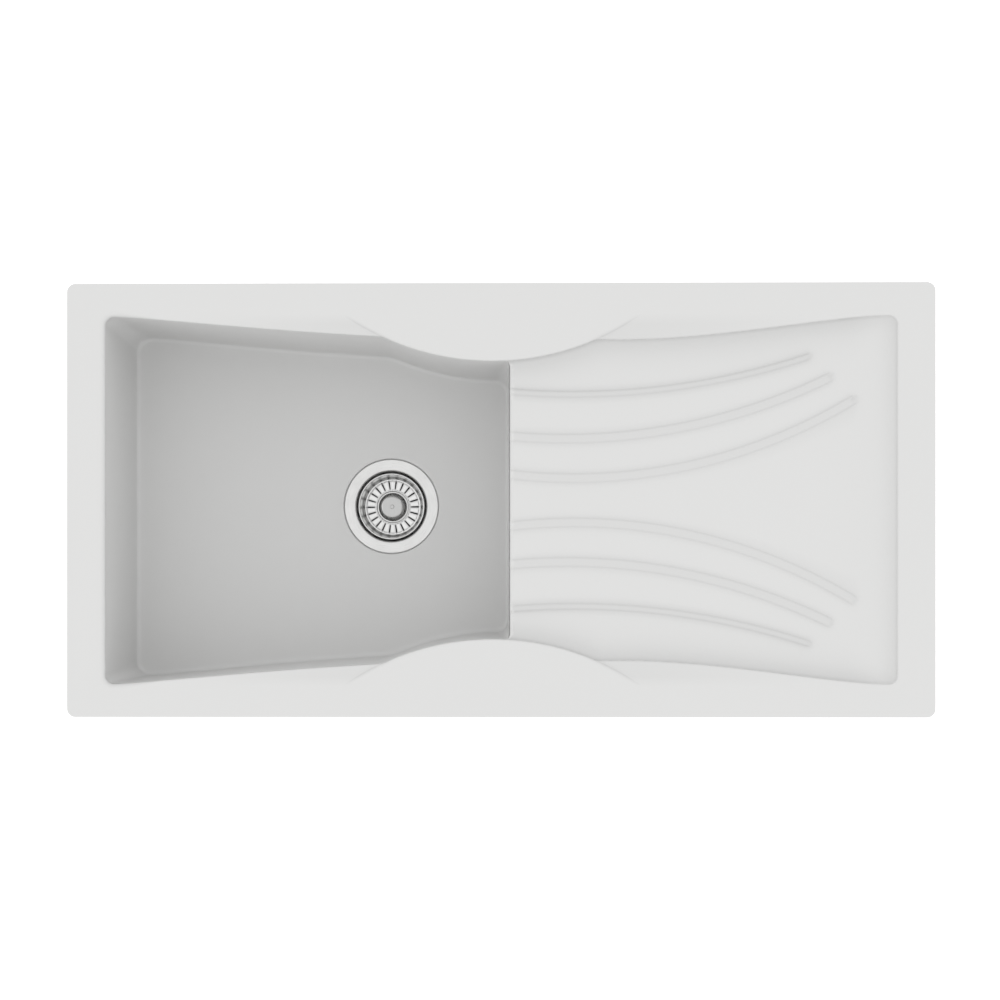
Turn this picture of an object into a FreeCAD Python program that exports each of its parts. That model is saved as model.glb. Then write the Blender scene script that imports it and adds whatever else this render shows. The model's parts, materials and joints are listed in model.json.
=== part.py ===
import FreeCAD, Part
import math
import os
from FreeCAD import Placement, Rotation, Vector

# Inset kitchen sink with drainboard, moulded in mineral composite, with its basket strainer waste,
# overflow and fixing clips. Millimetres, +Z up, +X towards the drainboard, +Y to the back.
# The origin is the middle of the rim, on the worktop's plane (the rim's underside).

# ---- Moulding: rim and opening -------------------------------------------------------------------
RIM_LENGTH = 1000.0
RIM_WIDTH = 500.0
RIM_THICKNESS = 8.0
RIM_CORNER_R = 10.0
RIM_EDGE_R = 3.0          # rounding of the rim's outer top edge
MOUTH_EDGE_R = 3.0        # rounding of the opening's top edge
WALL = 8.0
JOIN_TOLERANCE = 0.001    # edges of the hollows closer than this are one edge

RIM_END_WIDTH = 44.0      # rim's edge to the opening, at the two ends
RIM_SIDE_WIDTH = 38.5     # rim's edge to the opening, at the corners of the long sides
MOUTH_LENGTH = RIM_LENGTH - 2 * RIM_END_WIDTH
MOUTH_WIDTH = RIM_WIDTH - 2 * RIM_SIDE_WIDTH
MOUTH_CORNER_R = 10.0
LENS_R = 300.0            # plan radius of the two tap decks
LENS_X = -9.2
PULL_LENGTH = 912.0       # opening's length at which the waves' pulls below are as written
DECK_SWELL = 51.5         # how far the tap decks swell into the opening
LENS_REACH = MOUTH_WIDTH / 2 - DECK_SWELL
LENS_BLEND_R = 30.0       # where a tap deck's arc runs into a wave
BOWL_WAVE_SWELL = 23.2    # how far the bowl's wave has run in where it meets the tap deck
BOWL_WAVE_HALF = MOUTH_WIDTH / 2 - BOWL_WAVE_SWELL
BOWL_WAVE_SLOPE = 0.0515
BOWL_WAVE_PULL = 142.6
BOWL_CORNER_PULL = 30.2
BOARD_WAVE_SWELL = 26.3   # the same for the drainboard's wave
BOARD_WAVE_HALF = MOUTH_WIDTH / 2 - BOARD_WAVE_SWELL
BOARD_WAVE_SLOPE = -0.0362
BOARD_WAVE_PULL = 124.1
BOARD_CORNER_PULL = 68.7
SHOULDER_INSET = 1.0      # the slope beside each wave starts this far inside the opening's corners
SHOULDER_HALF = MOUTH_WIDTH / 2 - SHOULDER_INSET
SHOULDER_ANGLE = 4.0
DECK_MARGIN = 0.6         # the slopes stop this far outside the tap decks' arcs

# ---- Moulding: bowl and drainboard ---------------------------------------------------------------
BOWL_DEPTH = 195.0        # rim top to bowl floor
BOWL_DRAFT = 2.0
BOWL_FLOOR_R = 12.0
BOWL_FLOOR_CORNER_R = 18.0
BOWL_FLOOR_BLEND_R = 70.0
BOWL_FALL = 2.0           # the floor's fall to the waste
BOWL_FALL_R = 120.0
LIP_X = 10.5              # bowl's right edge, where the drainboard starts
LIP_CORNER_R = 5.0
LIP_EDGE_R = 4.0
BOARD_DEPTH = 9.0         # rim top to drainboard floor, at the far end
BOARD_FALL = 2.0          # the drainboard's fall to the bowl
BOARD_DRAFT = 4.0
BOARD_FLOOR_R = 5.0

RIDGE_HEIGHT = 1.8
RIDGE_FLANK = 4.0
# each ridge: plan radius, lowest point's x and y, its far end to the opening's end, width of its top
RIDGES = (
    (870.0, 85.0, 122.2, 103.0, 3.5),
    (690.0, 76.0, 71.0, 79.0, 7.0),
    (620.0, 85.0, 25.5, 52.0, 7.0),
)

# ---- Moulding: underside -------------------------------------------------------------------------
RIM_OVERLAP = 10.0        # how far the rim covers the worktop around the cut-out
CUTOUT_LENGTH = RIM_LENGTH - 2 * RIM_OVERLAP
CUTOUT_WIDTH = RIM_WIDTH - 2 * RIM_OVERLAP
CUTOUT_CLEARANCE = 2.0
RAIL_THICKNESS = 5.0
RAIL_HEIGHT = 12.0
RAIL_CORNER_R = 12.0
SEAL_WIDTH = 5.0
SEAL_DEPTH = 2.0
SEAL_INSET = 3.5          # rim edge to seal groove
STIFFENER_THICKNESS = 5.0
STIFFENER_HEIGHT = 12.0
STIFFENER_LONG_Y = 70.0
STIFFENER_COUNT = 3
STIFFENER_PITCH = 110.0
STIFFENER_END_GAP = 106.0    # the last cross stiffener to the opening's end
STIFFENER_CROSS_LENGTH = 300.0
TAP_HOLE_R = 17.5
TAP_HOLE_Y = (LENS_REACH + RIM_WIDTH / 2) / 2
TAP_SKIN = 3.0            # left closed until the fitter knocks it out

# ---- Waste ---------------------------------------------------------------------------------------
DRAIN_X = -140.0
DRAIN_HOLE_R = 45.0
FLANGE_R = 57.0
RECESS_MARGIN = 1.0
RECESS_DEPTH = 2.5
PAD_R = 66.0
FLANGE_GASKET_T = 1.0
GASKET_MARGIN = 2.5       # the flange gasket stays this far inside the flange's edges
BODY_GASKET_T = 3.0
DISH_SHEET = 1.0
DISH_R = 42.6             # inside of the dish, near its top
DISH_DEPTH = 31.5
DISH_FLOOR_R = 37.0
DISH_DIMPLE_R = 6.5
DISH_DIMPLE_DEPTH = 3.0
DISH_SLOT_COUNT = 8
DISH_SLOT_IN_R = 13.0
DISH_SLOT_OUT_R = 27.0
DISH_SLOT_WIDTH = 6.0
CLAMP_R = 3.0
CLAMP_LENGTH = 18.0
CLAMP_HEAD_R = 5.8
CLAMP_HEAD_T = 2.2
CLAMP_DRIVE_WIDTH = 1.2
CLAMP_DRIVE_DEPTH = 1.0
INSERT_R = 5.5
INSERT_LENGTH = 12.0
INSERT_SINK = 0.5         # the insert's top below its boss's
BODY_WALL = 3.0
BODY_CLEARANCE = 2.0      # sink's drain hole to the inside of the waste body
BODY_FLANGE_REACH = 6.0   # how far the body's top flange stands out from its cup
BODY_GASKET_MARGIN = 1.0
BODY_BOSS_R = 9.0
BODY_BOSS_LENGTH = 17.0
BODY_ARM_COUNT = 4
BODY_ARM_THICKNESS = 4.0
BODY_ARM_HEIGHT = 10.0
BODY_ARM_LIFT = 2.0       # the boss's underside to the arms
BODY_CUP_DEPTH = 32.0     # straight part of the cup, below its flange
BODY_CONE_DEPTH = 18.0
OUTLET_R = 23.9           # over the 1 1/2 inch outlet thread
OUTLET_BORE_R = 19.0
OUTLET_LENGTH = 24.0
OUTLET_COLLAR_R = 27.0
OUTLET_COLLAR_LENGTH = 6.0
INLET_DROP = 20.0         # body flange's underside to the inlet's centre
FIT = 0.05                # radial clearance of a pin or insert in its hole
REST = 0.3                # clearance under a piece that lifts or swivels

# ---- Basket --------------------------------------------------------------------------------------
BASKET_SHEET = 0.8
BASKET_R = 40.2
BASKET_DROP = 1.4         # flange plane to the basket's rolled edge
BASKET_FLOOR_R = 33.5
BASKET_BEAD_R = 18.0
BASKET_WELL_R = 15.2
SLOT_COUNT = 22
SLOT_IN_R = 20.6
SLOT_OUT_R = 32.6
SLOT_IN_WIDTH = 1.6
SLOT_OUT_WIDTH = 3.4
STOPPER_R = 31.0
STOPPER_T = 3.0
WASHER_R = 22.0
WASHER_T = 1.0
STEM_R = 2.5
STEM_HEAD_R = 5.0
STEM_HEAD_T = 1.4
KNOB_R = 14.2
KNOB_NECK_R = 4.4
KNOB_FOOT_R = 7.0
KNOB_HEIGHT = 15.0
KNOB_CAP = 3.2            # metal left over the stem's hole
STEM_SINK = 0.2           # the stem's head above the stopper's underside
STOPPER_LIP = 4.0         # the stopper thins over this width
STOPPER_LIP_T = 1.0

# ---- Overflow ------------------------------------------------------------------------------------
OVERFLOW_DEPTH = 50.0     # rim top to the overflow's centre
OVERFLOW_HOLE_R = 14.0
ROSE_R = 17.5
ROSE_CROWN = 2.0
ROSE_HOLE_COUNT = 8
ROSE_HOLE_R = 2.6
ROSE_HOLE_PITCH_R = 10.5
ROSE_SEAT_DEPTH = 5.5     # the rose and its screw stay behind the bowl's wall
OVERFLOW_PAD_R = 23.0
OVERFLOW_GASKET_T = 2.0
ELBOW_FLANGE_R = 21.0
ELBOW_FLANGE_T = 3.0
ELBOW_R = 16.5
ELBOW_WALL = 2.5
ELBOW_BOSS_R = 5.5
ELBOW_BRIDGE = 4.0
OVERFLOW_SCREW_R = 2.5
OVERFLOW_SCREW_HEAD_R = 4.5
OVERFLOW_SCREW_HEAD_T = 2.2
OVERFLOW_DRIVE_WIDTH = 1.0
OVERFLOW_DRIVE_DEPTH = 1.0
OVERFLOW_INSERT_R = 3.8
OVERFLOW_INSERT_LENGTH = 9.0
SPIGOT_R = 9.9
SPIGOT_BORE_R = 8.0
SPIGOT_LENGTH = 20.0
HOSE_FIT = 0.1
HOSE_VALLEY_R = 11.2
HOSE_CREST_R = 12.6
HOSE_PITCH = 4.6
HOSE_BEND_R = 50.0
HOSE_CUFF = 22.0
NUT_R = 15.6
NUT_GAP = 1.0             # union nut to the elbow's flange
NUT_LENGTH = 13.0
NUT_GRIPS = 12
NUT_GRIP_R = 1.6

# ---- Fixing clips --------------------------------------------------------------------------------
CLIP_LONG_X = 250.0       # clips on the long sides, from the middle
CLIP_SHORT_Y = 120.0      # clips on the short sides, from the middle
CLIP_INSET = 14.0         # cut-out edge to the clip's screw
CLIP_BOSS_R = 8.0
CLIP_BOSS_HEIGHT = 16.0
ANCHOR_R = 4.0
ANCHOR_LENGTH = 12.0
CLIP_SCREW_R = 2.5
CLIP_SCREW_HEAD_R = 4.6
CLIP_SCREW_HEAD_T = 4.0
CLIP_SCREW_DROP = 46.0    # worktop plane to the claw's underside
CLAW_T = 2.5
CLAW_WIDTH = 16.0
CLAW_REACH = 34.0
CLAW_TOE = 8.0
CLAW_NOTCH_WIDTH = 3.2
CLAW_NOTCH_DEPTH = 2.4
CLAW_FIT = 0.06

# ---- Levels and places that follow from the sizes above ------------------------------------------
Z_AXIS = Vector(0, 0, 1)
BOWL_FLOOR_Z = RIM_THICKNESS - BOWL_DEPTH
DRAIN_FLOOR_Z = BOWL_FLOOR_Z - BOWL_FALL
RECESS_Z = DRAIN_FLOOR_Z - RECESS_DEPTH
PAD_Z = RECESS_Z - WALL
FLANGE_Z = RECESS_Z + FLANGE_GASKET_T
BODY_Z = PAD_Z - BODY_GASKET_T
DISH_FLOOR_Z = FLANGE_Z - DISH_DEPTH
DIMPLE_UNDER_Z = DISH_FLOOR_Z - DISH_DIMPLE_DEPTH - DISH_SHEET
BODY_IN_R = DRAIN_HOLE_R + BODY_CLEARANCE
BODY_OUT_R = BODY_IN_R + BODY_WALL
INLET_Z = BODY_Z - BODY_WALL - INLET_DROP
BOARD_END_Z = RIM_THICKNESS - BOARD_DEPTH
BOARD_LIP_Z = BOARD_END_Z - BOARD_FALL
MOUTH_Z = RIM_THICKNESS - MOUTH_EDGE_R
OVERFLOW_Z = RIM_THICKNESS - OVERFLOW_DEPTH
LENS_Y = LENS_REACH + LENS_R


def bowl_inset(z):
    """How far the bowl's wall has drawn in at height z."""
    return (MOUTH_Z - z) * math.tan(math.radians(BOWL_DRAFT))


OVERFLOW_SEAT_X = LIP_X - bowl_inset(OVERFLOW_Z) + ROSE_SEAT_DEPTH
OVERFLOW_BACK_X = OVERFLOW_SEAT_X + WALL
ELBOW_X = OVERFLOW_BACK_X + OVERFLOW_GASKET_T
SPIGOT_X = ELBOW_X + ELBOW_FLANGE_T + NUT_GAP + NUT_R
ELBOW_DEPTH = SPIGOT_X - ELBOW_X + SPIGOT_R + ELBOW_WALL


# ---- Small helpers -------------------------------------------------------------------------------
def save(shape, node):
    """Write one piece to its own STEP file."""
    if not shape.isValid():
        print(node, "is not valid")
    print(f"{node}: {len(shape.Solids)} solids, {shape.Volume:.0f} mm3")
    shape.exportStep(f"parts/{node}.step")


def merged(shapes):
    """One solid from shapes that overlap."""
    return shapes[0].multiFuse(shapes[1:]).removeSplitter()


def polygon(points):
    """A flat face from points."""
    return Part.Face(Part.makePolygon(list(points) + [points[0]]))


def turned(points, x=0.0, y=0.0):
    """The solid that a closed (radius, height) outline makes about the vertical line at x, y."""
    face = polygon([Vector(x + r, y, z) for r, z in points])
    return face.revolve(Vector(x, y, 0), Z_AXIS, 360)


def cylinder(r, low, high, x=0.0, y=0.0):
    """An upright cylinder between two heights."""
    return Part.makeCylinder(r, high - low, Vector(x, y, low))


def ring(r_in, r_out, low, high, x=0.0, y=0.0):
    """An upright ring between two heights."""
    return cylinder(r_out, low, high, x, y).cut(cylinder(r_in, low - 1, high + 1, x, y))


def box(x0, x1, y0, y1, z0, z1):
    """A box between two corners."""
    return Part.makeBox(x1 - x0, y1 - y0, z1 - z0, Vector(x0, y0, z0))


def lying(shape, x, z):
    """Turn a shape made about the vertical axis so that its axis points along +X from (x, 0, z)."""
    moved = shape.copy()
    moved.Placement = Placement(Vector(x, 0, z), Rotation(Vector(0, 1, 0), 90))
    return moved


def spun(shape, count, x=0.0, y=0.0):
    """Copies of a shape, evenly turned about the vertical line at x, y."""
    copies = []
    for i in range(count):
        copy = shape.copy()
        copy.rotate(Vector(x, y, 0), Z_AXIS, 360.0 * i / count)
        copies.append(copy)
    return copies


def sheet_profile(points, thickness):
    """A closed outline of even thickness, from the (radius, height) points of its upper side."""
    offset = []
    last = len(points) - 1
    for i, (r, z) in enumerate(points):
        before = points[max(i - 1, 0)]
        after = points[min(i + 1, last)]
        lines = []
        for a, b in ((before, (r, z)), ((r, z), after)):
            length = math.hypot(b[0] - a[0], b[1] - a[1])
            if length > 0:
                lines.append(((b[1] - a[1]) / length, (a[0] - b[0]) / length))
        normal_r = sum(n[0] for n in lines) / len(lines)
        normal_z = sum(n[1] for n in lines) / len(lines)
        stretch = thickness / (normal_r ** 2 + normal_z ** 2)
        offset.append((r - normal_r * stretch, z - normal_z * stretch))
    return list(points) + offset[::-1]


def rounded_slab(length, width, corner_r, low, high):
    """An upright slab with rounded corners, centred on the origin."""
    slab = box(-length / 2, length / 2, -width / 2, width / 2, low, high)
    corners = [e for e in slab.Edges if abs(e.Vertexes[0].Z - e.Vertexes[1].Z) > 1e-6]
    return slab.makeFillet(corner_r, corners)


def edges_at(shape, z):
    """The edges of a shape that lie wholly at height z."""
    found = []
    for edge in shape.Edges:
        bounds = edge.BoundBox
        if abs(bounds.ZMin - z) < 1e-4 and abs(bounds.ZMax - z) < 1e-4:
            found.append(edge)
    return found


# ---- The opening's outline -----------------------------------------------------------------------
# Seen from above, each side of the opening is one run of curves. A run is a list of pieces, each
# piece a tuple of plan points: two for a straight line, three for an arc, four for a wave.
def arc(centre, start, end):
    """An arc's start, middle and end points."""
    radius = (start - centre).Length
    middle = (start - centre) + (end - centre)
    middle.normalize()
    return (start, centre + middle * radius, end)


def wave_run(side, inset, corner_r, blend_r):
    """From a tap deck's arc out to an end of the opening. side is -1 for the bowl, 1 for the board."""
    bowl = side < 0
    half = (BOWL_WAVE_HALF if bowl else BOARD_WAVE_HALF) - inset
    slope = BOWL_WAVE_SLOPE if bowl else BOARD_WAVE_SLOPE
    stretch = MOUTH_LENGTH / PULL_LENGTH
    pull = (BOWL_WAVE_PULL if bowl else BOARD_WAVE_PULL) * stretch
    corner_pull = (BOWL_CORNER_PULL if bowl else BOARD_CORNER_PULL) * stretch
    lens_r = LENS_R + inset
    lens = Vector(LENS_X, LENS_Y, 0)
    meet_x = LENS_X + side * math.sqrt(lens_r ** 2 - (LENS_Y - half) ** 2)
    meet = Vector(meet_x, half, 0)
    along = Vector(side, slope, 0)
    along.normalize()
    inward = Vector(side * slope, -1, 0)
    inward.normalize()
    # the blend's centre is blend_r from the wave and from the tap deck's arc
    reach = meet + inward * blend_r - lens
    drift = reach.dot(along)
    shift = -drift + math.sqrt(drift ** 2 - reach.dot(reach) + (lens_r + blend_r) ** 2)
    centre = meet + inward * blend_r + along * shift
    from_lens = centre - lens
    from_lens.normalize()
    on_lens = lens + from_lens * lens_r
    on_wave = meet + along * shift
    end_x = side * (MOUTH_LENGTH / 2 - inset)
    end_y = MOUTH_WIDTH / 2 - inset
    wave_end = Vector(end_x - side * corner_r, end_y, 0)
    corner_end = Vector(end_x, end_y - corner_r, 0)
    corner = Vector(wave_end.x, corner_end.y, 0)
    wave = (on_wave, meet + along * pull, wave_end - Vector(side * corner_pull, 0, 0), wave_end)
    return [arc(centre, on_lens, on_wave), wave, arc(corner, wave_end, corner_end)]


def reversed_run(run):
    """The same run, from its other end."""
    return [tuple(reversed(piece)) for piece in reversed(run)]


def closed_outline(run, z):
    """The wire at height z of a rear run, its mirror image at the front and the two straight ends."""
    front = [tuple(Vector(p.x, -p.y, 0) for p in piece) for piece in reversed_run(run)]
    pieces = list(run) + [(run[-1][-1], front[0][0])] + front + [(front[-1][-1], run[0][0])]
    edges = []
    for piece in pieces:
        points = [Vector(p.x, p.y, z) for p in piece]
        if len(points) == 2:
            edges.append(Part.makeLine(*points))
        elif len(points) == 3:
            edges.append(Part.Arc(*points).toShape())
        else:
            wave = Part.BezierCurve()
            wave.setPoles(points)
            edges.append(wave.toShape())
    return Part.Wire(edges)


def lens_arc(start, end, inset):
    """The tap deck's arc between two points on it."""
    lens = Vector(LENS_X, LENS_Y, 0)
    lowest = lens - Vector(0, LENS_R + inset, 0)
    if (start.x - LENS_X) * (end.x - LENS_X) < 0:
        return (start, lowest, end)
    return arc(lens, start, end)


def mouth_outline(z):
    """The whole opening."""
    left = reversed_run(wave_run(-1, 0, MOUTH_CORNER_R, LENS_BLEND_R))
    right = wave_run(1, 0, MOUTH_CORNER_R, LENS_BLEND_R)
    return closed_outline(left + [lens_arc(left[-1][-1], right[0][0], 0)] + right, z)


def bowl_outline(z, inset, corner_r, blend_r, lip_r):
    """The bowl's part of the opening."""
    left = reversed_run(wave_run(-1, inset, corner_r, blend_r))
    lens = Vector(LENS_X, LENS_Y, 0)
    lip_x = LIP_X - inset
    centre_x = lip_x - lip_r
    rise = math.sqrt((LENS_R + inset + lip_r) ** 2 - (centre_x - LENS_X) ** 2)
    centre = Vector(centre_x, LENS_Y - rise, 0)
    from_lens = centre - lens
    from_lens.normalize()
    on_lens = lens + from_lens * (LENS_R + inset)
    on_lip = Vector(lip_x, centre.y, 0)
    run = left + [lens_arc(left[-1][-1], on_lens, inset), arc(centre, on_lens, on_lip)]
    return closed_outline(run, z)


def board_outline(z, inset, start_x, corner_r):
    """The drainboard's part of the opening, from start_x to its far end."""
    lens_r = LENS_R + inset
    start = Vector(start_x, LENS_Y - math.sqrt(lens_r ** 2 - (start_x - LENS_X) ** 2), 0)
    right = wave_run(1, inset, corner_r, LENS_BLEND_R)
    return closed_outline([lens_arc(start, right[0][0], inset)] + right, z)


# ---- The moulding --------------------------------------------------------------------------------
def rim():
    """The rim with both tap decks, around the open mouth."""
    plate = rounded_slab(RIM_LENGTH, RIM_WIDTH, RIM_CORNER_R, 0, RIM_THICKNESS)
    plate = plate.makeFillet(RIM_EDGE_R, edges_at(plate, RIM_THICKNESS))
    mouth = Part.Face(mouth_outline(-1)).extrude(Vector(0, 0, RIM_THICKNESS + 2))
    plate = plate.cut(mouth)
    inner = [e for e in edges_at(plate, RIM_THICKNESS) if inside_mouth(e)]
    return plate.makeFillet(MOUTH_EDGE_R, inner)


def inside_mouth(edge):
    """Whether an edge belongs to the opening, not to the rim's outside."""
    bounds = edge.BoundBox
    in_length = max(abs(bounds.XMin), abs(bounds.XMax)) < MOUTH_LENGTH / 2 + 1
    in_width = max(abs(bounds.YMin), abs(bounds.YMax)) < MOUTH_WIDTH / 2 + 1
    return in_length and in_width


def bowl_shell():
    """The bowl's outside, one wall thickness out from its inside."""
    bottom_z = BOWL_FLOOR_Z - WALL
    wires = []
    for z, corner_r, lip_r, blend_r in (
        (MOUTH_Z, MOUTH_CORNER_R, LIP_CORNER_R, LENS_BLEND_R),
        (bottom_z, BOWL_FLOOR_CORNER_R, BOWL_FLOOR_CORNER_R, BOWL_FLOOR_BLEND_R),
    ):
        inset = bowl_inset(z) - WALL
        wires.append(bowl_outline(z, inset, corner_r + WALL, blend_r + WALL, lip_r + WALL))
    shell = Part.makeLoft(wires, True, True)
    return shell.makeFillet(BOWL_FLOOR_R, edges_at(shell, bottom_z))


def bowl_hollow():
    """The bowl's inside."""
    wires = []
    for z, corner_r, lip_r, blend_r in (
        (MOUTH_Z, MOUTH_CORNER_R, LIP_CORNER_R, LENS_BLEND_R),
        (BOWL_FLOOR_Z, BOWL_FLOOR_CORNER_R, BOWL_FLOOR_CORNER_R, BOWL_FLOOR_BLEND_R),
    ):
        wires.append(bowl_outline(z, bowl_inset(z), corner_r, blend_r, lip_r))
    hollow = Part.makeLoft(wires, True, True)
    return hollow.makeFillet(BOWL_FLOOR_R, edges_at(hollow, BOWL_FLOOR_Z))


def board_shell():
    """The drainboard's outside, one wall thickness below and around its inside."""
    start_x = LIP_X - WALL
    bottom_z = BOARD_LIP_Z - WALL
    outline = board_outline(bottom_z, -WALL, start_x, MOUTH_CORNER_R + WALL)
    slab = Part.Face(outline).extrude(Vector(0, 0, MOUTH_Z - bottom_z))
    return slab.cut(below_board(-WALL))


def below_board(lift):
    """Everything below the drainboard's floor plane, which falls towards the bowl."""
    far_x = MOUTH_LENGTH / 2
    slope = BOARD_FALL / (far_x - LIP_X)
    start_x = -far_x
    end_x = 2 * far_x
    half = MOUTH_WIDTH
    low = BOWL_FLOOR_Z
    corners = [
        Vector(start_x, -half, low),
        Vector(end_x, -half, low),
        Vector(end_x, -half, BOARD_END_Z + (end_x - far_x) * slope + lift),
        Vector(start_x, -half, BOARD_END_Z + (start_x - far_x) * slope + lift),
    ]
    return polygon(corners).extrude(Vector(0, 2 * half, 0))


def ridge(radius, low_x, low_y, end_gap, top_width):
    """One drainage ridge: a low flat-topped section carried along an arc, with a round far end."""
    centre = Vector(low_x, low_y + radius, 0)
    start_angle = math.degrees(math.asin((LIP_X - 2 * LIP_EDGE_R - low_x) / radius))
    end_angle = math.degrees(math.asin((MOUTH_LENGTH / 2 - end_gap - low_x) / radius))
    top = top_width / 2
    foot = top + 2 * RIDGE_FLANK
    # the flanks run on below the floor, to one ridge height under it
    section = [Vector(low_x, low_y + s, z) for s, z in (
        (-foot, -RIDGE_HEIGHT), (-top, RIDGE_HEIGHT), (top, RIDGE_HEIGHT), (foot, -RIDGE_HEIGHT))]
    body = polygon(section).revolve(centre, Z_AXIS, end_angle - start_angle)
    body.rotate(centre, Z_AXIS, start_angle)
    # the round end is half of the same section, turned about the middle of the ridge's end
    half = [Vector(r, 0, z) for r, z in (
        (0, -RIDGE_HEIGHT), (0, RIDGE_HEIGHT), (top, RIDGE_HEIGHT), (foot, -RIDGE_HEIGHT))]
    cap = polygon(half).revolve(Vector(0, 0, 0), Z_AXIS, 180)
    cap.rotate(Vector(0, 0, 0), Z_AXIS, end_angle - 90)
    turn = math.radians(end_angle)
    cap.translate(centre + Vector(math.sin(turn), -math.cos(turn), 0) * radius)
    return body.fuse(cap)


def board_hollow():
    """The drainboard's inside, with its ridges left standing."""
    start_x = LIP_X - 2 * LIP_EDGE_R
    wires = []
    for z in (MOUTH_Z, BOARD_LIP_Z):
        inset = (MOUTH_Z - z) * math.tan(math.radians(BOARD_DRAFT))
        wires.append(board_outline(z, inset, start_x, MOUTH_CORNER_R))
    hollow = Part.makeLoft(wires, True, True).cut(below_board(0))
    soft = []
    for edge in hollow.Edges:
        bounds = edge.BoundBox
        on_floor = bounds.ZMax < BOARD_END_Z + 0.1
        if on_floor and bounds.XMax > start_x + 1:
            soft.append(edge)
    hollow = hollow.makeFillet(BOARD_FLOOR_R, soft)
    tilt = math.degrees(math.atan(BOARD_FALL / (MOUTH_LENGTH / 2 - LIP_X)))
    for sizes in RIDGES:
        rear = ridge(*sizes)
        rear.translate(Vector(0, 0, BOARD_END_Z))
        rear.rotate(Vector(MOUTH_LENGTH / 2, 0, BOARD_END_Z), Vector(0, 1, 0), -tilt)
        front = rear.mirror(Vector(0, 0, 0), Vector(0, 1, 0))
        hollow = hollow.cut(rear).cut(front)
    return hollow


def lip_rounding():
    """What the rounded edge between drainboard and bowl takes away."""
    half = LENS_REACH - LIP_CORNER_R
    top_z = BOARD_LIP_Z + RIDGE_HEIGHT
    r = LIP_EDGE_R
    corner = box(LIP_X - r, LIP_X + r, -half, half, BOARD_LIP_Z - r, top_z + 1)
    round_part = Part.makeCylinder(r, 2 * half, Vector(LIP_X + r, -half, BOARD_LIP_Z - r),
                                   Vector(0, 1, 0))
    return corner.cut(round_part).cut(box(LIP_X, LIP_X + 2 * r, -half - 1, half + 1,
                                          BOARD_LIP_Z - 2 * r, BOARD_LIP_Z - r))


def shoulders():
    """The shallow slopes between the rim and each wave, which leave the tap decks standing."""
    fall = math.tan(math.radians(SHOULDER_ANGLE))
    high = 2 * RIM_THICKNESS
    section = [
        Vector(0, SHOULDER_HALF, RIM_THICKNESS),
        Vector(0, SHOULDER_HALF, high),
        Vector(0, LENS_REACH, high),
        Vector(0, LENS_REACH, RIM_THICKNESS - (SHOULDER_HALF - LENS_REACH) * fall),
    ]
    slope = polygon(section).extrude(Vector(MOUTH_LENGTH, 0, 0))
    slope.translate(Vector(-MOUTH_LENGTH / 2, 0, 0))
    deck = cylinder(LENS_R + DECK_MARGIN, 0, high + 1, LENS_X, LENS_Y)
    rear = slope.cut(deck)
    return [rear, rear.mirror(Vector(0, 0, 0), Vector(0, 1, 0))]


def clip_places():
    """Name, screw position and outward direction of each fixing clip."""
    long_y = CUTOUT_WIDTH / 2 - CLIP_INSET
    short_x = CUTOUT_LENGTH / 2 - CLIP_INSET
    return (
        ("back_left", -CLIP_LONG_X, long_y, 90),
        ("back_right", CLIP_LONG_X, long_y, 90),
        ("front_left", -CLIP_LONG_X, -long_y, -90),
        ("front_right", CLIP_LONG_X, -long_y, -90),
        ("left_back", -short_x, CLIP_SHORT_Y, 180),
        ("left_front", -short_x, -CLIP_SHORT_Y, 180),
        ("right_back", short_x, CLIP_SHORT_Y, 0),
        ("right_front", short_x, -CLIP_SHORT_Y, 0),
    )


def underside():
    """The rail inside the worktop's cut-out, the clip bosses and the drainboard's stiffeners."""
    length = CUTOUT_LENGTH - 2 * CUTOUT_CLEARANCE
    width = CUTOUT_WIDTH - 2 * CUTOUT_CLEARANCE
    outer = rounded_slab(length, width, RAIL_CORNER_R, -RAIL_HEIGHT, 1)
    inner = rounded_slab(length - 2 * RAIL_THICKNESS, width - 2 * RAIL_THICKNESS,
                         RAIL_CORNER_R - RAIL_THICKNESS, -RAIL_HEIGHT - 1, 2)
    pieces = [outer.cut(inner)]
    for _name, x, y, _outward in clip_places():
        pieces.append(cylinder(CLIP_BOSS_R, -CLIP_BOSS_HEIGHT, 1, x, y))
    low = BOARD_LIP_Z - WALL - STIFFENER_HEIGHT
    high = BOARD_LIP_Z - 1
    half = STIFFENER_THICKNESS / 2
    reach = STIFFENER_CROSS_LENGTH / 2
    last_x = MOUTH_LENGTH / 2 - STIFFENER_END_GAP
    for y in (-STIFFENER_LONG_Y, STIFFENER_LONG_Y):
        pieces.append(box(LIP_X, last_x + half, y - half, y + half, low, high))
    for i in range(STIFFENER_COUNT):
        x = last_x - i * STIFFENER_PITCH
        pieces.append(box(x - half, x + half, -reach, reach, low, high))
    pieces.append(cylinder(PAD_R, PAD_Z, BOWL_FLOOR_Z - 1, DRAIN_X))
    pad = cylinder(OVERFLOW_PAD_R, 0, WALL)
    pieces.append(lying(pad, OVERFLOW_SEAT_X, OVERFLOW_Z))
    return pieces


def seal_ring(margin):
    """The slab ring in the rim's underside that the sealing strip lies in."""
    inset = SEAL_INSET + margin
    outer = rounded_slab(RIM_LENGTH - 2 * inset, RIM_WIDTH - 2 * inset,
                         RIM_CORNER_R - inset, 0, SEAL_DEPTH)
    inset = SEAL_INSET + SEAL_WIDTH - margin
    inner = rounded_slab(RIM_LENGTH - 2 * inset, RIM_WIDTH - 2 * inset,
                         RIM_CORNER_R - SEAL_INSET, -1, SEAL_DEPTH + 1)
    return outer.cut(inner)


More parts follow.
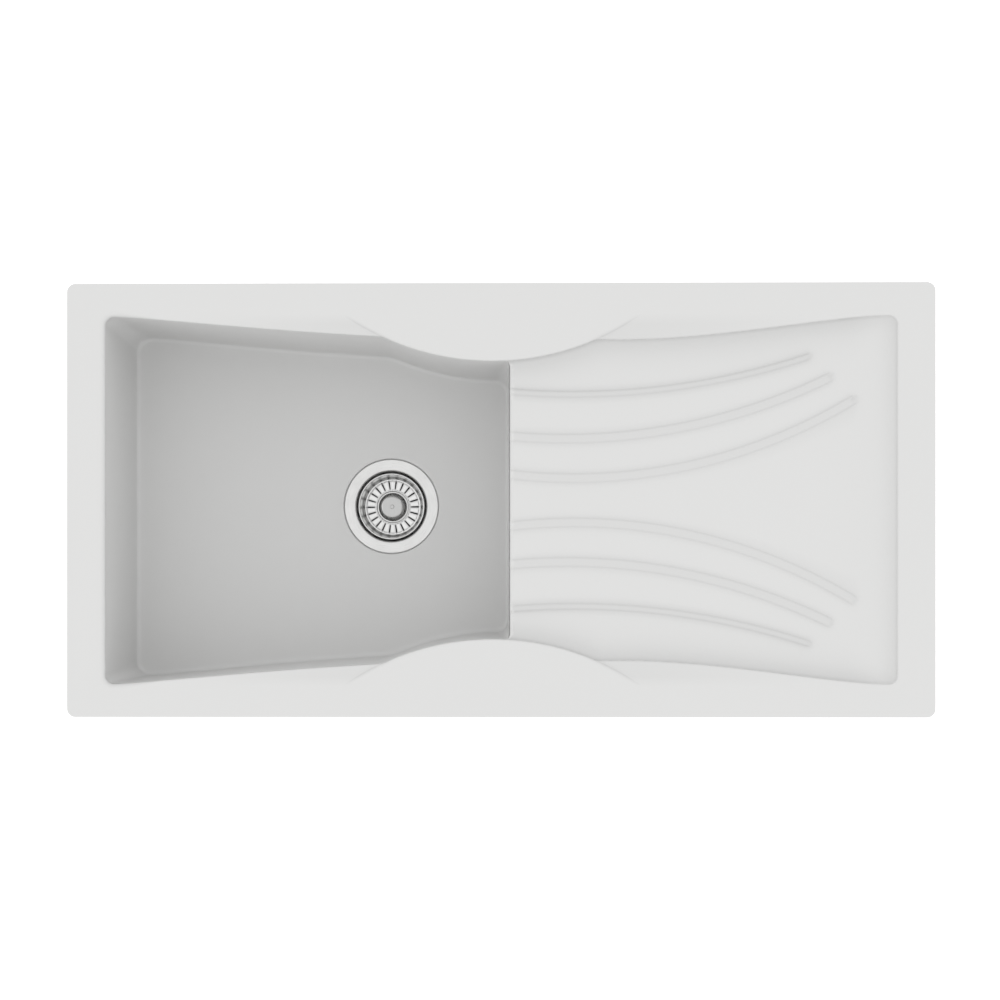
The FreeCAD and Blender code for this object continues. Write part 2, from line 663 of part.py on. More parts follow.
def holes():
    """Everything that is cut through or into the moulding."""
    cuts = [seal_ring(0)]
    fall = turned([(0, BOWL_FLOOR_Z + 1), (BOWL_FALL_R, BOWL_FLOOR_Z + 1),
                   (BOWL_FALL_R, BOWL_FLOOR_Z), (FLANGE_R, DRAIN_FLOOR_Z), (0, DRAIN_FLOOR_Z)],
                  DRAIN_X)
    cuts.append(fall)
    cuts.append(cylinder(FLANGE_R + RECESS_MARGIN, RECESS_Z, DRAIN_FLOOR_Z + 1, DRAIN_X))
    cuts.append(cylinder(DRAIN_HOLE_R, PAD_Z - 1, RECESS_Z + 1, DRAIN_X))
    seat = cylinder(ROSE_R + RECESS_MARGIN, -2 * ROSE_SEAT_DEPTH, 0)
    cuts.append(lying(seat, OVERFLOW_SEAT_X, OVERFLOW_Z))
    hole = cylinder(OVERFLOW_HOLE_R, -1, WALL + 1)
    cuts.append(lying(hole, OVERFLOW_SEAT_X, OVERFLOW_Z))
    for y in (-TAP_HOLE_Y, TAP_HOLE_Y):
        cuts.append(cylinder(TAP_HOLE_R, -1, RIM_THICKNESS - TAP_SKIN, LENS_X, y))
    for _name, x, y, _outward in clip_places():
        cuts.append(cylinder(ANCHOR_R, -CLIP_BOSS_HEIGHT - 1, -1, x, y))
    return cuts


def sink_body():
    """The one-piece moulding."""
    body = merged([rim(), bowl_shell(), board_shell()] + underside())
    body = body.cut([board_hollow(), bowl_hollow(), lip_rounding()], JOIN_TOLERANCE)
    body = body.cut(shoulders())
    return body.cut(holes())


# ---- Waste ---------------------------------------------------------------------------------------
def strainer_flange():
    """Pressed dish: flat flange, rolled shoulder, steep wall and slotted floor with a screw dimple."""
    z = FLANGE_Z
    upper = [
        (FLANGE_R, z + 0.4), (FLANGE_R - 0.7, z + DISH_SHEET), (DISH_R + 3.6, z + DISH_SHEET),
        (DISH_R + 1.4, z + 0.4), (DISH_R + 0.3, z - 0.9), (DISH_R, z - 2.6),
        (DISH_R - 1.4, DISH_FLOOR_Z + 5.5), (DISH_R - 2.4, DISH_FLOOR_Z + 2.0),
        (DISH_FLOOR_R, DISH_FLOOR_Z), (DISH_DIMPLE_R + 1.5, DISH_FLOOR_Z),
        (DISH_DIMPLE_R, DISH_FLOOR_Z - DISH_DIMPLE_DEPTH),
        (CLAMP_R + 4 * FIT, DISH_FLOOR_Z - DISH_DIMPLE_DEPTH),
    ]
    dish = turned(sheet_profile(upper, DISH_SHEET), DRAIN_X)
    half = DISH_SLOT_WIDTH / 2
    slot = merged([
        box(DISH_SLOT_IN_R + half, DISH_SLOT_OUT_R - half, -half, half, -5, 5),
        cylinder(half, -5, 5, DISH_SLOT_IN_R + half),
        cylinder(half, -5, 5, DISH_SLOT_OUT_R - half),
    ])
    slot.translate(Vector(DRAIN_X, 0, DISH_FLOOR_Z))
    return dish.cut(spun(slot, DISH_SLOT_COUNT, DRAIN_X))


def flange_gasket():
    """Flat rubber ring under the flange."""
    return ring(DRAIN_HOLE_R + GASKET_MARGIN, FLANGE_R - GASKET_MARGIN, RECESS_Z, FLANGE_Z, DRAIN_X)


def body_gasket():
    """Flat rubber ring under the bowl."""
    return ring(DRAIN_HOLE_R + BODY_GASKET_MARGIN, BODY_OUT_R + BODY_FLANGE_REACH, BODY_Z, PAD_Z,
                DRAIN_X)


def waste_body():
    """Plastic cup with a flange, a cone to the outlet, a screw boss on arms and an inlet."""
    flange_z = BODY_Z - BODY_WALL
    flange_r = BODY_OUT_R + BODY_FLANGE_REACH
    cup_z = flange_z - BODY_CUP_DEPTH
    cone_z = cup_z - BODY_CONE_DEPTH
    shell = turned([
        (BODY_IN_R, BODY_Z), (flange_r, BODY_Z), (flange_r, flange_z), (BODY_OUT_R, flange_z),
        (BODY_OUT_R, cup_z), (OUTLET_COLLAR_R, cone_z), (OUTLET_BORE_R, cone_z),
        (BODY_IN_R, cup_z),
    ], DRAIN_X)
    boss = cylinder(BODY_BOSS_R, DIMPLE_UNDER_Z - BODY_BOSS_LENGTH, DIMPLE_UNDER_Z, DRAIN_X)
    arm_low = DIMPLE_UNDER_Z - BODY_BOSS_LENGTH + BODY_ARM_LIFT
    half = BODY_ARM_THICKNESS / 2
    arm = box(0, BODY_IN_R + 1, -half, half, arm_low, arm_low + BODY_ARM_HEIGHT)
    arm.translate(Vector(DRAIN_X, 0, 0))
    arm.rotate(Vector(DRAIN_X, 0, 0), Z_AXIS, 180.0 / BODY_ARM_COUNT)
    arms = spun(arm, BODY_ARM_COUNT, DRAIN_X)
    envelope = turned([
        (0, BODY_Z), (BODY_OUT_R - 1, BODY_Z), (BODY_OUT_R - 1, cup_z),
        (OUTLET_BORE_R + 1, cone_z), (0, cone_z),
    ], DRAIN_X)
    arms = [a.common(envelope) for a in arms]
    spigot = lying(cylinder(SPIGOT_R, BODY_IN_R + 1, BODY_OUT_R + SPIGOT_LENGTH), DRAIN_X, INLET_Z)
    body = merged([shell, boss, spigot] + arms)
    bore = lying(cylinder(SPIGOT_BORE_R, BODY_IN_R - 4, BODY_OUT_R + SPIGOT_LENGTH + 1),
                 DRAIN_X, INLET_Z)
    screw_hole = cylinder(INSERT_R, DIMPLE_UNDER_Z - BODY_BOSS_LENGTH - 1, DIMPLE_UNDER_Z + 1,
                          DRAIN_X)
    return body.cut([bore, screw_hole])


def waste_outlet():
    """Threaded tail with a collar, welded under the cup's cone."""
    cone_z = BODY_Z - BODY_WALL - BODY_CUP_DEPTH - BODY_CONE_DEPTH
    collar_z = cone_z - OUTLET_COLLAR_LENGTH
    outlet_z = cone_z - OUTLET_LENGTH
    return turned([
        (OUTLET_BORE_R, cone_z), (OUTLET_COLLAR_R, cone_z), (OUTLET_COLLAR_R, collar_z),
        (OUTLET_R, collar_z), (OUTLET_R, outlet_z), (OUTLET_BORE_R, outlet_z),
    ], DRAIN_X)


def clamp_insert():
    """Brass thread insert in the waste body's boss."""
    top = DIMPLE_UNDER_Z - INSERT_SINK
    return ring(CLAMP_R + FIT, INSERT_R - FIT, top - INSERT_LENGTH, top, DRAIN_X)


def clamp_screw():
    """Screw from the dish's dimple into the insert."""
    seat = DISH_FLOOR_Z - DISH_DIMPLE_DEPTH
    top = seat + CLAMP_HEAD_T
    head = cylinder(CLAMP_HEAD_R, seat, top, DRAIN_X)
    drive = box(DRAIN_X - CLAMP_HEAD_R, DRAIN_X + CLAMP_HEAD_R, -CLAMP_DRIVE_WIDTH / 2,
                CLAMP_DRIVE_WIDTH / 2, top - CLAMP_DRIVE_DEPTH, top + 1)
    shank = cylinder(CLAMP_R, seat - CLAMP_LENGTH, seat + 1, DRAIN_X)
    return merged([head.cut(drive), shank])


# ---- Basket --------------------------------------------------------------------------------------
STOPPER_Z = DISH_FLOOR_Z + REST
WASHER_Z = STOPPER_Z + STOPPER_T
BASKET_Z = WASHER_Z + WASHER_T
WELL_Z = BASKET_Z + BASKET_SHEET


def basket():
    """Pressed cup: rolled edge, steep side, slotted floor, bead and a well for the knob."""
    top = FLANGE_Z - BASKET_DROP
    floor = WELL_Z + 2.4
    upper = [
        (BASKET_R, top - 0.7), (BASKET_R - 0.8, top), (BASKET_R - 1.8, top - 0.6),
        (BASKET_R - 3.2, top - 10), (BASKET_FLOOR_R + 2.2, floor + 3.4),
        (BASKET_FLOOR_R + 1.0, floor + 1.0), (BASKET_FLOOR_R - 1.0, floor),
        (BASKET_BEAD_R + 2.2, floor - 0.6), (BASKET_BEAD_R + 1.0, floor + 0.5),
        (BASKET_BEAD_R, floor + 0.8), (BASKET_BEAD_R - 1.2, floor + 0.4),
        (BASKET_WELL_R + 0.6, WELL_Z + 1.0), (BASKET_WELL_R, WELL_Z), (STEM_R + FIT, WELL_Z),
    ]
    cup = turned(sheet_profile(upper, BASKET_SHEET), DRAIN_X)
    slot = polygon([
        Vector(SLOT_IN_R, -SLOT_IN_WIDTH / 2, -6), Vector(SLOT_OUT_R, -SLOT_OUT_WIDTH / 2, -6),
        Vector(SLOT_OUT_R, SLOT_OUT_WIDTH / 2, -6), Vector(SLOT_IN_R, SLOT_IN_WIDTH / 2, -6),
    ]).extrude(Vector(0, 0, 12))
    slot.translate(Vector(DRAIN_X, 0, floor))
    return cup.cut(spun(slot, SLOT_COUNT, DRAIN_X))


def stopper_seal():
    """Rubber disc that closes the dish's slots, with a thinner lip at its edge."""
    hole = STEM_R + FIT
    return turned([
        (hole, STOPPER_Z), (STOPPER_R, STOPPER_Z), (STOPPER_R, STOPPER_Z + STOPPER_LIP_T),
        (STOPPER_R - STOPPER_LIP, WASHER_Z), (hole, WASHER_Z),
    ], DRAIN_X).cut(stem_head(4 * FIT))


def stopper_washer():
    """Steel disc between the stopper and the basket."""
    return ring(STEM_R + FIT, WASHER_R, WASHER_Z, BASKET_Z, DRAIN_X)


def stem_head(margin):
    """The stem's flat head, sunk into the stopper's underside."""
    low = STOPPER_Z
    return cylinder(STEM_HEAD_R + margin, low - margin, low + STEM_HEAD_T, DRAIN_X)


def basket_stem():
    """Pin that holds stopper, washer, basket and knob together."""
    low = STOPPER_Z + STEM_SINK
    shank = cylinder(STEM_R, low, WELL_Z + KNOB_HEIGHT - KNOB_CAP - REST, DRAIN_X)
    head = cylinder(STEM_HEAD_R, low, STOPPER_Z + STEM_HEAD_T, DRAIN_X)
    return merged([head, shank])


def basket_knob():
    """Turned knob: foot, waisted neck and a domed head with a small raised centre."""
    z = WELL_Z
    top = z + KNOB_HEIGHT
    knob = turned([
        (0, z), (KNOB_FOOT_R, z), (KNOB_FOOT_R, z + 1.0), (KNOB_FOOT_R - 1.4, z + 2.2),
        (KNOB_NECK_R, z + 3.6), (KNOB_NECK_R, top - 6.6), (KNOB_NECK_R + 3.4, top - 5.2),
        (KNOB_R - 0.8, top - 4.4), (KNOB_R, top - 3.6), (KNOB_R - 0.6, top - 2.6),
        (KNOB_R - 4.0, top - 1.4), (KNOB_R - 8.4, top - 0.7), (2.2, top - 0.5), (1.6, top),
        (0, top + 0.2),
    ], DRAIN_X)
    return knob.cut(cylinder(STEM_R + FIT, z - 1, top - KNOB_CAP, DRAIN_X))


# ---- Overflow ------------------------------------------------------------------------------------
def overflow_rose():
    """Domed stainless disc with a ring of holes, on its seat in the bowl's wall."""
    crown = [
        (ROSE_R, 0), (ROSE_R, -0.6), (ROSE_R - 3, -ROSE_CROWN), (ROSE_R - 6, -ROSE_CROWN - 0.6),
        (OVERFLOW_SCREW_R + FIT, -ROSE_CROWN - 0.8), (OVERFLOW_SCREW_R + FIT, -ROSE_CROWN + 0.4),
        (ROSE_R - 6, -ROSE_CROWN + 0.6), (ROSE_R - 3.4, -0.9), (ROSE_R - 3.4, 0),
    ]
    disc = turned(crown)
    hole = cylinder(ROSE_HOLE_R, -8, 2, ROSE_HOLE_PITCH_R)
    return lying(disc.cut(spun(hole, ROSE_HOLE_COUNT)), OVERFLOW_SEAT_X, OVERFLOW_Z)


def overflow_gasket():
    """Rubber ring between the bowl's wall and the elbow."""
    gasket = ring(OVERFLOW_HOLE_R + 1, ELBOW_FLANGE_R, 0, OVERFLOW_GASKET_T)
    return lying(gasket, OVERFLOW_BACK_X, OVERFLOW_Z)


def overflow_elbow():
    """Plastic elbow behind the wall: flange, chamber, bridge with a screw boss, spigot downwards."""
    flange = cylinder(ELBOW_FLANGE_R, 0, ELBOW_FLANGE_T)
    chamber = cylinder(ELBOW_R, 0, ELBOW_DEPTH)
    hollow = cylinder(ELBOW_R - ELBOW_WALL, -1, ELBOW_DEPTH - ELBOW_WALL)
    shell = flange.fuse(chamber).cut(hollow)
    boss = cylinder(ELBOW_BOSS_R, 0, ELBOW_DEPTH - 1)
    bridge = box(-ELBOW_BRIDGE / 2, ELBOW_BRIDGE / 2, -ELBOW_R + 1, ELBOW_R - 1, 0, ELBOW_DEPTH / 3)
    body = lying(merged([shell, boss, bridge]), ELBOW_X, OVERFLOW_Z)
    spigot_top = OVERFLOW_Z - ELBOW_R + ELBOW_WALL / 2
    spigot_low = OVERFLOW_Z - ELBOW_R - SPIGOT_LENGTH
    spigot = cylinder(SPIGOT_R, spigot_low, spigot_top, SPIGOT_X)
    bore = cylinder(SPIGOT_BORE_R, spigot_low - 1, spigot_top + ELBOW_WALL, SPIGOT_X)
    socket = lying(cylinder(OVERFLOW_INSERT_R, -1, OVERFLOW_INSERT_LENGTH + 6), ELBOW_X, OVERFLOW_Z)
    return merged([body, spigot]).cut([bore, socket])


def overflow_insert():
    """Brass thread insert in the elbow's boss."""
    insert = ring(OVERFLOW_SCREW_R + FIT, OVERFLOW_INSERT_R - FIT, 0, OVERFLOW_INSERT_LENGTH)
    return lying(insert, ELBOW_X + 1, OVERFLOW_Z)


def overflow_screw():
    """Screw through the rose into the elbow's insert."""
    seat = -ROSE_CROWN - 0.8
    length = ELBOW_X + OVERFLOW_INSERT_LENGTH + 3 - OVERFLOW_SEAT_X
    head = turned([
        (0, seat), (OVERFLOW_SCREW_HEAD_R, seat), (OVERFLOW_SCREW_HEAD_R, seat - 0.8),
        (OVERFLOW_SCREW_HEAD_R - 1.4, seat - OVERFLOW_SCREW_HEAD_T + 0.3),
        (0, seat - OVERFLOW_SCREW_HEAD_T),
    ])
    drive_z = seat - OVERFLOW_SCREW_HEAD_T + OVERFLOW_DRIVE_DEPTH
    drive = box(-OVERFLOW_SCREW_HEAD_R, OVERFLOW_SCREW_HEAD_R, -OVERFLOW_DRIVE_WIDTH / 2,
                OVERFLOW_DRIVE_WIDTH / 2, drive_z - OVERFLOW_SCREW_HEAD_T, drive_z)
    shank = cylinder(OVERFLOW_SCREW_R, seat - 0.5, length)
    return lying(merged([head.cut(drive), shank]), OVERFLOW_SEAT_X, OVERFLOW_Z)


HOSE_TOP_Z = OVERFLOW_Z - ELBOW_R - REST
HOSE_END_X = DRAIN_X + BODY_OUT_R + REST
HOSE_DROP = HOSE_TOP_Z - (INLET_Z + HOSE_BEND_R)
HOSE_TURN = HOSE_BEND_R * math.pi / 2
HOSE_RUN = SPIGOT_X - HOSE_BEND_R - HOSE_END_X
HOSE_LENGTH = HOSE_DROP + HOSE_TURN + HOSE_RUN


def hose_circle(distance, radius):
    """The hose's cross-section, a distance along its centre line: down, a quarter bend, then left."""
    if distance <= HOSE_DROP:
        centre = Vector(SPIGOT_X, 0, HOSE_TOP_Z - distance)
        along = Vector(0, 0, -1)
    elif distance <= HOSE_DROP + HOSE_TURN:
        angle = (distance - HOSE_DROP) / HOSE_BEND_R
        pivot = Vector(SPIGOT_X - HOSE_BEND_R, 0, INLET_Z + HOSE_BEND_R)
        centre = pivot + Vector(math.cos(angle), 0, -math.sin(angle)) * HOSE_BEND_R
        along = Vector(-math.sin(angle), 0, -math.cos(angle))
    else:
        left = distance - HOSE_DROP - HOSE_TURN
        centre = Vector(SPIGOT_X - HOSE_BEND_R - left, 0, INLET_Z)
        along = Vector(-1, 0, 0)
    circle = Part.Circle(Vector(0, 0, 0), Z_AXIS, radius)
    across = Vector(0, 1, 0)
    turn = Rotation(across, along.cross(across), along, "XZY")
    edge = circle.toShape()
    edge.Placement = Placement(centre, turn)
    return Part.Wire([edge])


def overflow_hose():
    """Ribbed hose with plain cuffs over both spigots."""
    ribbed = HOSE_LENGTH - 2 * HOSE_CUFF
    ribs = int(ribbed / HOSE_PITCH)
    pitch = ribbed / ribs
    circles = [hose_circle(0, HOSE_CREST_R), hose_circle(HOSE_CUFF, HOSE_CREST_R)]
    for i in range(ribs):
        start = HOSE_CUFF + i * pitch
        circles.append(hose_circle(start + 0.15 * pitch, HOSE_VALLEY_R))
        circles.append(hose_circle(start + 0.40 * pitch, HOSE_VALLEY_R))
        circles.append(hose_circle(start + 0.60 * pitch, HOSE_CREST_R))
        circles.append(hose_circle(start + 0.85 * pitch, HOSE_CREST_R))
    circles.append(hose_circle(HOSE_LENGTH - HOSE_CUFF, HOSE_CREST_R))
    circles.append(hose_circle(HOSE_LENGTH, HOSE_CREST_R))
    outside = Part.makeLoft(circles, True, True)
    bore_r = SPIGOT_R + HOSE_FIT
    drop = cylinder(bore_r, INLET_Z + HOSE_BEND_R, HOSE_TOP_Z, SPIGOT_X)
    pivot = Vector(SPIGOT_X - HOSE_BEND_R, 0, INLET_Z + HOSE_BEND_R)
    disc = Part.Face(Part.Wire([Part.Circle(
        Vector(SPIGOT_X, 0, INLET_Z + HOSE_BEND_R), Z_AXIS, bore_r).toShape()]))
    bend = disc.revolve(pivot, Vector(0, 1, 0), 90)
    run = Part.makeCylinder(bore_r, HOSE_RUN, Vector(HOSE_END_X, 0, INLET_Z), Vector(1, 0, 0))
    print(f"hose: {ribs} ribs, {HOSE_LENGTH:.0f} mm long, bend radius {HOSE_BEND_R} mm")
    return outside.cut([drop, bend, run])


def union_nut():
    """A nut over a hose cuff, about the vertical axis, from 0 downwards."""
    nut = ring(HOSE_CREST_R + HOSE_FIT, NUT_R, -NUT_LENGTH, 0)
    grip = cylinder(NUT_GRIP_R, -NUT_LENGTH - 1, 1, NUT_R + NUT_GRIP_R / 2)
    return nut.cut(spun(grip, NUT_GRIPS))


def hose_nut_upper():
    """The nut under the elbow."""
    nut = union_nut()
    nut.translate(Vector(SPIGOT_X, 0, HOSE_TOP_Z - REST))
    return nut


def hose_nut_lower():
    """The nut at the waste body's inlet."""
    return lying(union_nut(), HOSE_END_X + REST + NUT_LENGTH, INLET_Z)


# ---- Fixing clips --------------------------------------------------------------------------------
def clip_anchors():
    """Brass thread inserts in the bosses."""
    low = -CLIP_BOSS_HEIGHT + 1
    anchors = []
    for _name, x, y, _outward in clip_places():
        anchors.append(ring(CLIP_SCREW_R + FIT, ANCHOR_R - FIT, low, low + ANCHOR_LENGTH, x, y))
    return Part.makeCompound(anchors)


def clip_screws():
    """Hex-headed screws that carry the claws."""
    top = -CLIP_BOSS_HEIGHT + ANCHOR_LENGTH
    head_top = -CLIP_SCREW_DROP - REST
    screws = []
    for _name, x, y, _outward in clip_places():
        corners = []
        for i in range(6):
            angle = math.radians(60 * i)
            corner = Vector(math.cos(angle), math.sin(angle), 0) * CLIP_SCREW_HEAD_R
            corners.append(corner + Vector(x, y, head_top - CLIP_SCREW_HEAD_T))
        head = polygon(corners).extrude(Vector(0, 0, CLIP_SCREW_HEAD_T))
        screws.append(merged([head, cylinder(CLIP_SCREW_R, head_top - 1, top, x, y)]))
    return Part.makeCompound(screws)


def clip_claw(x, y, outward):
    """Steel claw, parked along the rim a quarter turn before its outward direction."""
    low = -CLIP_SCREW_DROP
    half = CLAW_WIDTH / 2
    arm = box(0, CLAW_REACH, -half, half, low, low + CLAW_T)
    eye = cylinder(half, low, low + CLAW_T)
    toe = box(CLAW_REACH - CLAW_T, CLAW_REACH, -half, half, low, low + CLAW_TOE)
    claw = merged([arm, eye, toe])
    notch_half = CLAW_NOTCH_WIDTH / 2
    notch = box(CLAW_REACH - 2 * CLAW_T, CLAW_REACH + 1, -notch_half, notch_half,
                low + CLAW_TOE - CLAW_NOTCH_DEPTH, low + CLAW_TOE + 1)
    claw = claw.cut([cylinder(CLIP_SCREW_R + CLAW_FIT, low - 1, low + CLAW_T + 1), notch])
    claw.rotate(Vector(0, 0, 0), Z_AXIS, outward - 90)
    claw.translate(Vector(x, y, 0))
    return claw


def main():
    """Build and write every piece."""
    os.makedirs("parts", exist_ok=True)
    pieces = (
        sink_body, strainer_flange, flange_gasket, body_gasket, waste_body, waste_outlet,
        clamp_insert, clamp_screw, basket, stopper_seal, stopper_washer, basket_stem, basket_knob,
        overflow_rose, overflow_gasket, overflow_elbow, overflow_insert, overflow_screw,
        overflow_hose, hose_nut_upper, hose_nut_lower, clip_anchors, clip_screws,
    )
    for piece in pieces:
        save(piece(), piece.__name__)
    save(seal_ring(HOSE_FIT), "rim_seal")
    for name, x, y, outward in clip_places():
        save(clip_claw(x, y, outward), f"clip_claw_{name}")


main()
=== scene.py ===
"""A white composite kitchen sink with one bowl and a drainboard, dressed for rendering.

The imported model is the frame. The moulding, the strainer basket and its knob are built here as
surfaces worked out with numpy. The other pieces keep their meshes and get their finishes here.
Shapes are written in millimetres and put into the meshes in metres.
"""
import json
import logging
import math
from dataclasses import dataclass
from enum import Enum

import bmesh
import bpy
import numpy as np
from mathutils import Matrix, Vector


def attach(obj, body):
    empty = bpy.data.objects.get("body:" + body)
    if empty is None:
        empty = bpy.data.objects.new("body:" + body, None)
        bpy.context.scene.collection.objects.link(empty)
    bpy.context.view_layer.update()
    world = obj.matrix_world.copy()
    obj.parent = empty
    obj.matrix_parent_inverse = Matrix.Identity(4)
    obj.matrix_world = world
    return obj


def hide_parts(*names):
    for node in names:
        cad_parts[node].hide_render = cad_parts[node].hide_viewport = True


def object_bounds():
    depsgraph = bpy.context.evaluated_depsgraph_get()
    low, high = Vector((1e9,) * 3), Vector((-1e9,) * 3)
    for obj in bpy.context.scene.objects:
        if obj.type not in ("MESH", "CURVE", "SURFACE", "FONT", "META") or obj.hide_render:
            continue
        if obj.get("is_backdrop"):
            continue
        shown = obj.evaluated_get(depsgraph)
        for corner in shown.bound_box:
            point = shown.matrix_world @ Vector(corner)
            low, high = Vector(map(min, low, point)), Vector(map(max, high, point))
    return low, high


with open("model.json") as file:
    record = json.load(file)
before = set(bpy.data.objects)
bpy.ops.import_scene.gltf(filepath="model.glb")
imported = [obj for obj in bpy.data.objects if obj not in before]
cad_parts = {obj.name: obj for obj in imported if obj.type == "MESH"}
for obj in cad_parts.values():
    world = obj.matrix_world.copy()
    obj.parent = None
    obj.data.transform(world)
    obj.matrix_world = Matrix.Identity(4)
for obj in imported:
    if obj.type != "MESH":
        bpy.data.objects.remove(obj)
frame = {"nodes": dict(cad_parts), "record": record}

LOG = logging.getLogger("sink")
MM = 0.001
Array = np.ndarray


class Body(Enum):
    """The moving bodies that pieces ride on."""

    ROOT = "root"
    BASKET = "basket"


class Slot(Enum):
    """The record's material slots."""

    COMPOSITE = "white_composite"
    FOAM = "grey_foam"
    BRUSHED = "brushed_steel"
    POLISHED = "polished_steel"
    SCREW = "screw_steel"
    ZINC = "zinc_steel"
    RUBBER = "black_rubber"
    PLASTIC = "grey_plastic"
    HOSE = "hose_plastic"
    BRASS = "brass"


# ---- Shader node helpers -------------------------------------------------------------------------
class NodeTree:
    """A short way to add and link nodes in one shader tree."""

    def __init__(self, tree: bpy.types.NodeTree) -> None:
        """Start on a tree.

        Args:
            tree: the material's or group's node tree.
        """
        self.tree = tree

    def add(self, kind: str, values: dict | None = None, **settings: object) -> bpy.types.Node:
        """Add a node.

        Args:
            kind: the node's type name.
            values: socket names or numbers with the value or the output that goes in.
            settings: the node's own settings.

        Returns:
            The new node.
        """
        node = self.tree.nodes.new(kind)
        for name, setting in settings.items():
            setattr(node, name, setting)
        for name, value in (values or {}).items():
            if isinstance(value, bpy.types.NodeSocket):
                self.tree.links.new(value, node.inputs[name])
            else:
                node.inputs[name].default_value = value
        return node

    def math(self, operation: str, a: object, b: object = 0.0, c: object = 0.0) -> object:
        """Add a math node and return its result."""
        return self.add("ShaderNodeMath", {0: a, 1: b, 2: c}, operation=operation).outputs[0]

    def blend(self, share: object, first: object, second: object) -> object:
        """Mix two colours by a share and return the result."""
        node = self.add("ShaderNodeMix", {"Factor": share, 6: first, 7: second}, data_type="RGBA")
        return node.outputs[2]

    def span(self, value: object, low: float, high: float, to_low: float, to_high: float) -> object:
        """Map a value from one span to another, held at the ends, and return it."""
        values = {0: value, 1: low, 2: high, 3: to_low, 4: to_high}
        return self.add("ShaderNodeMapRange", values).outputs[0]


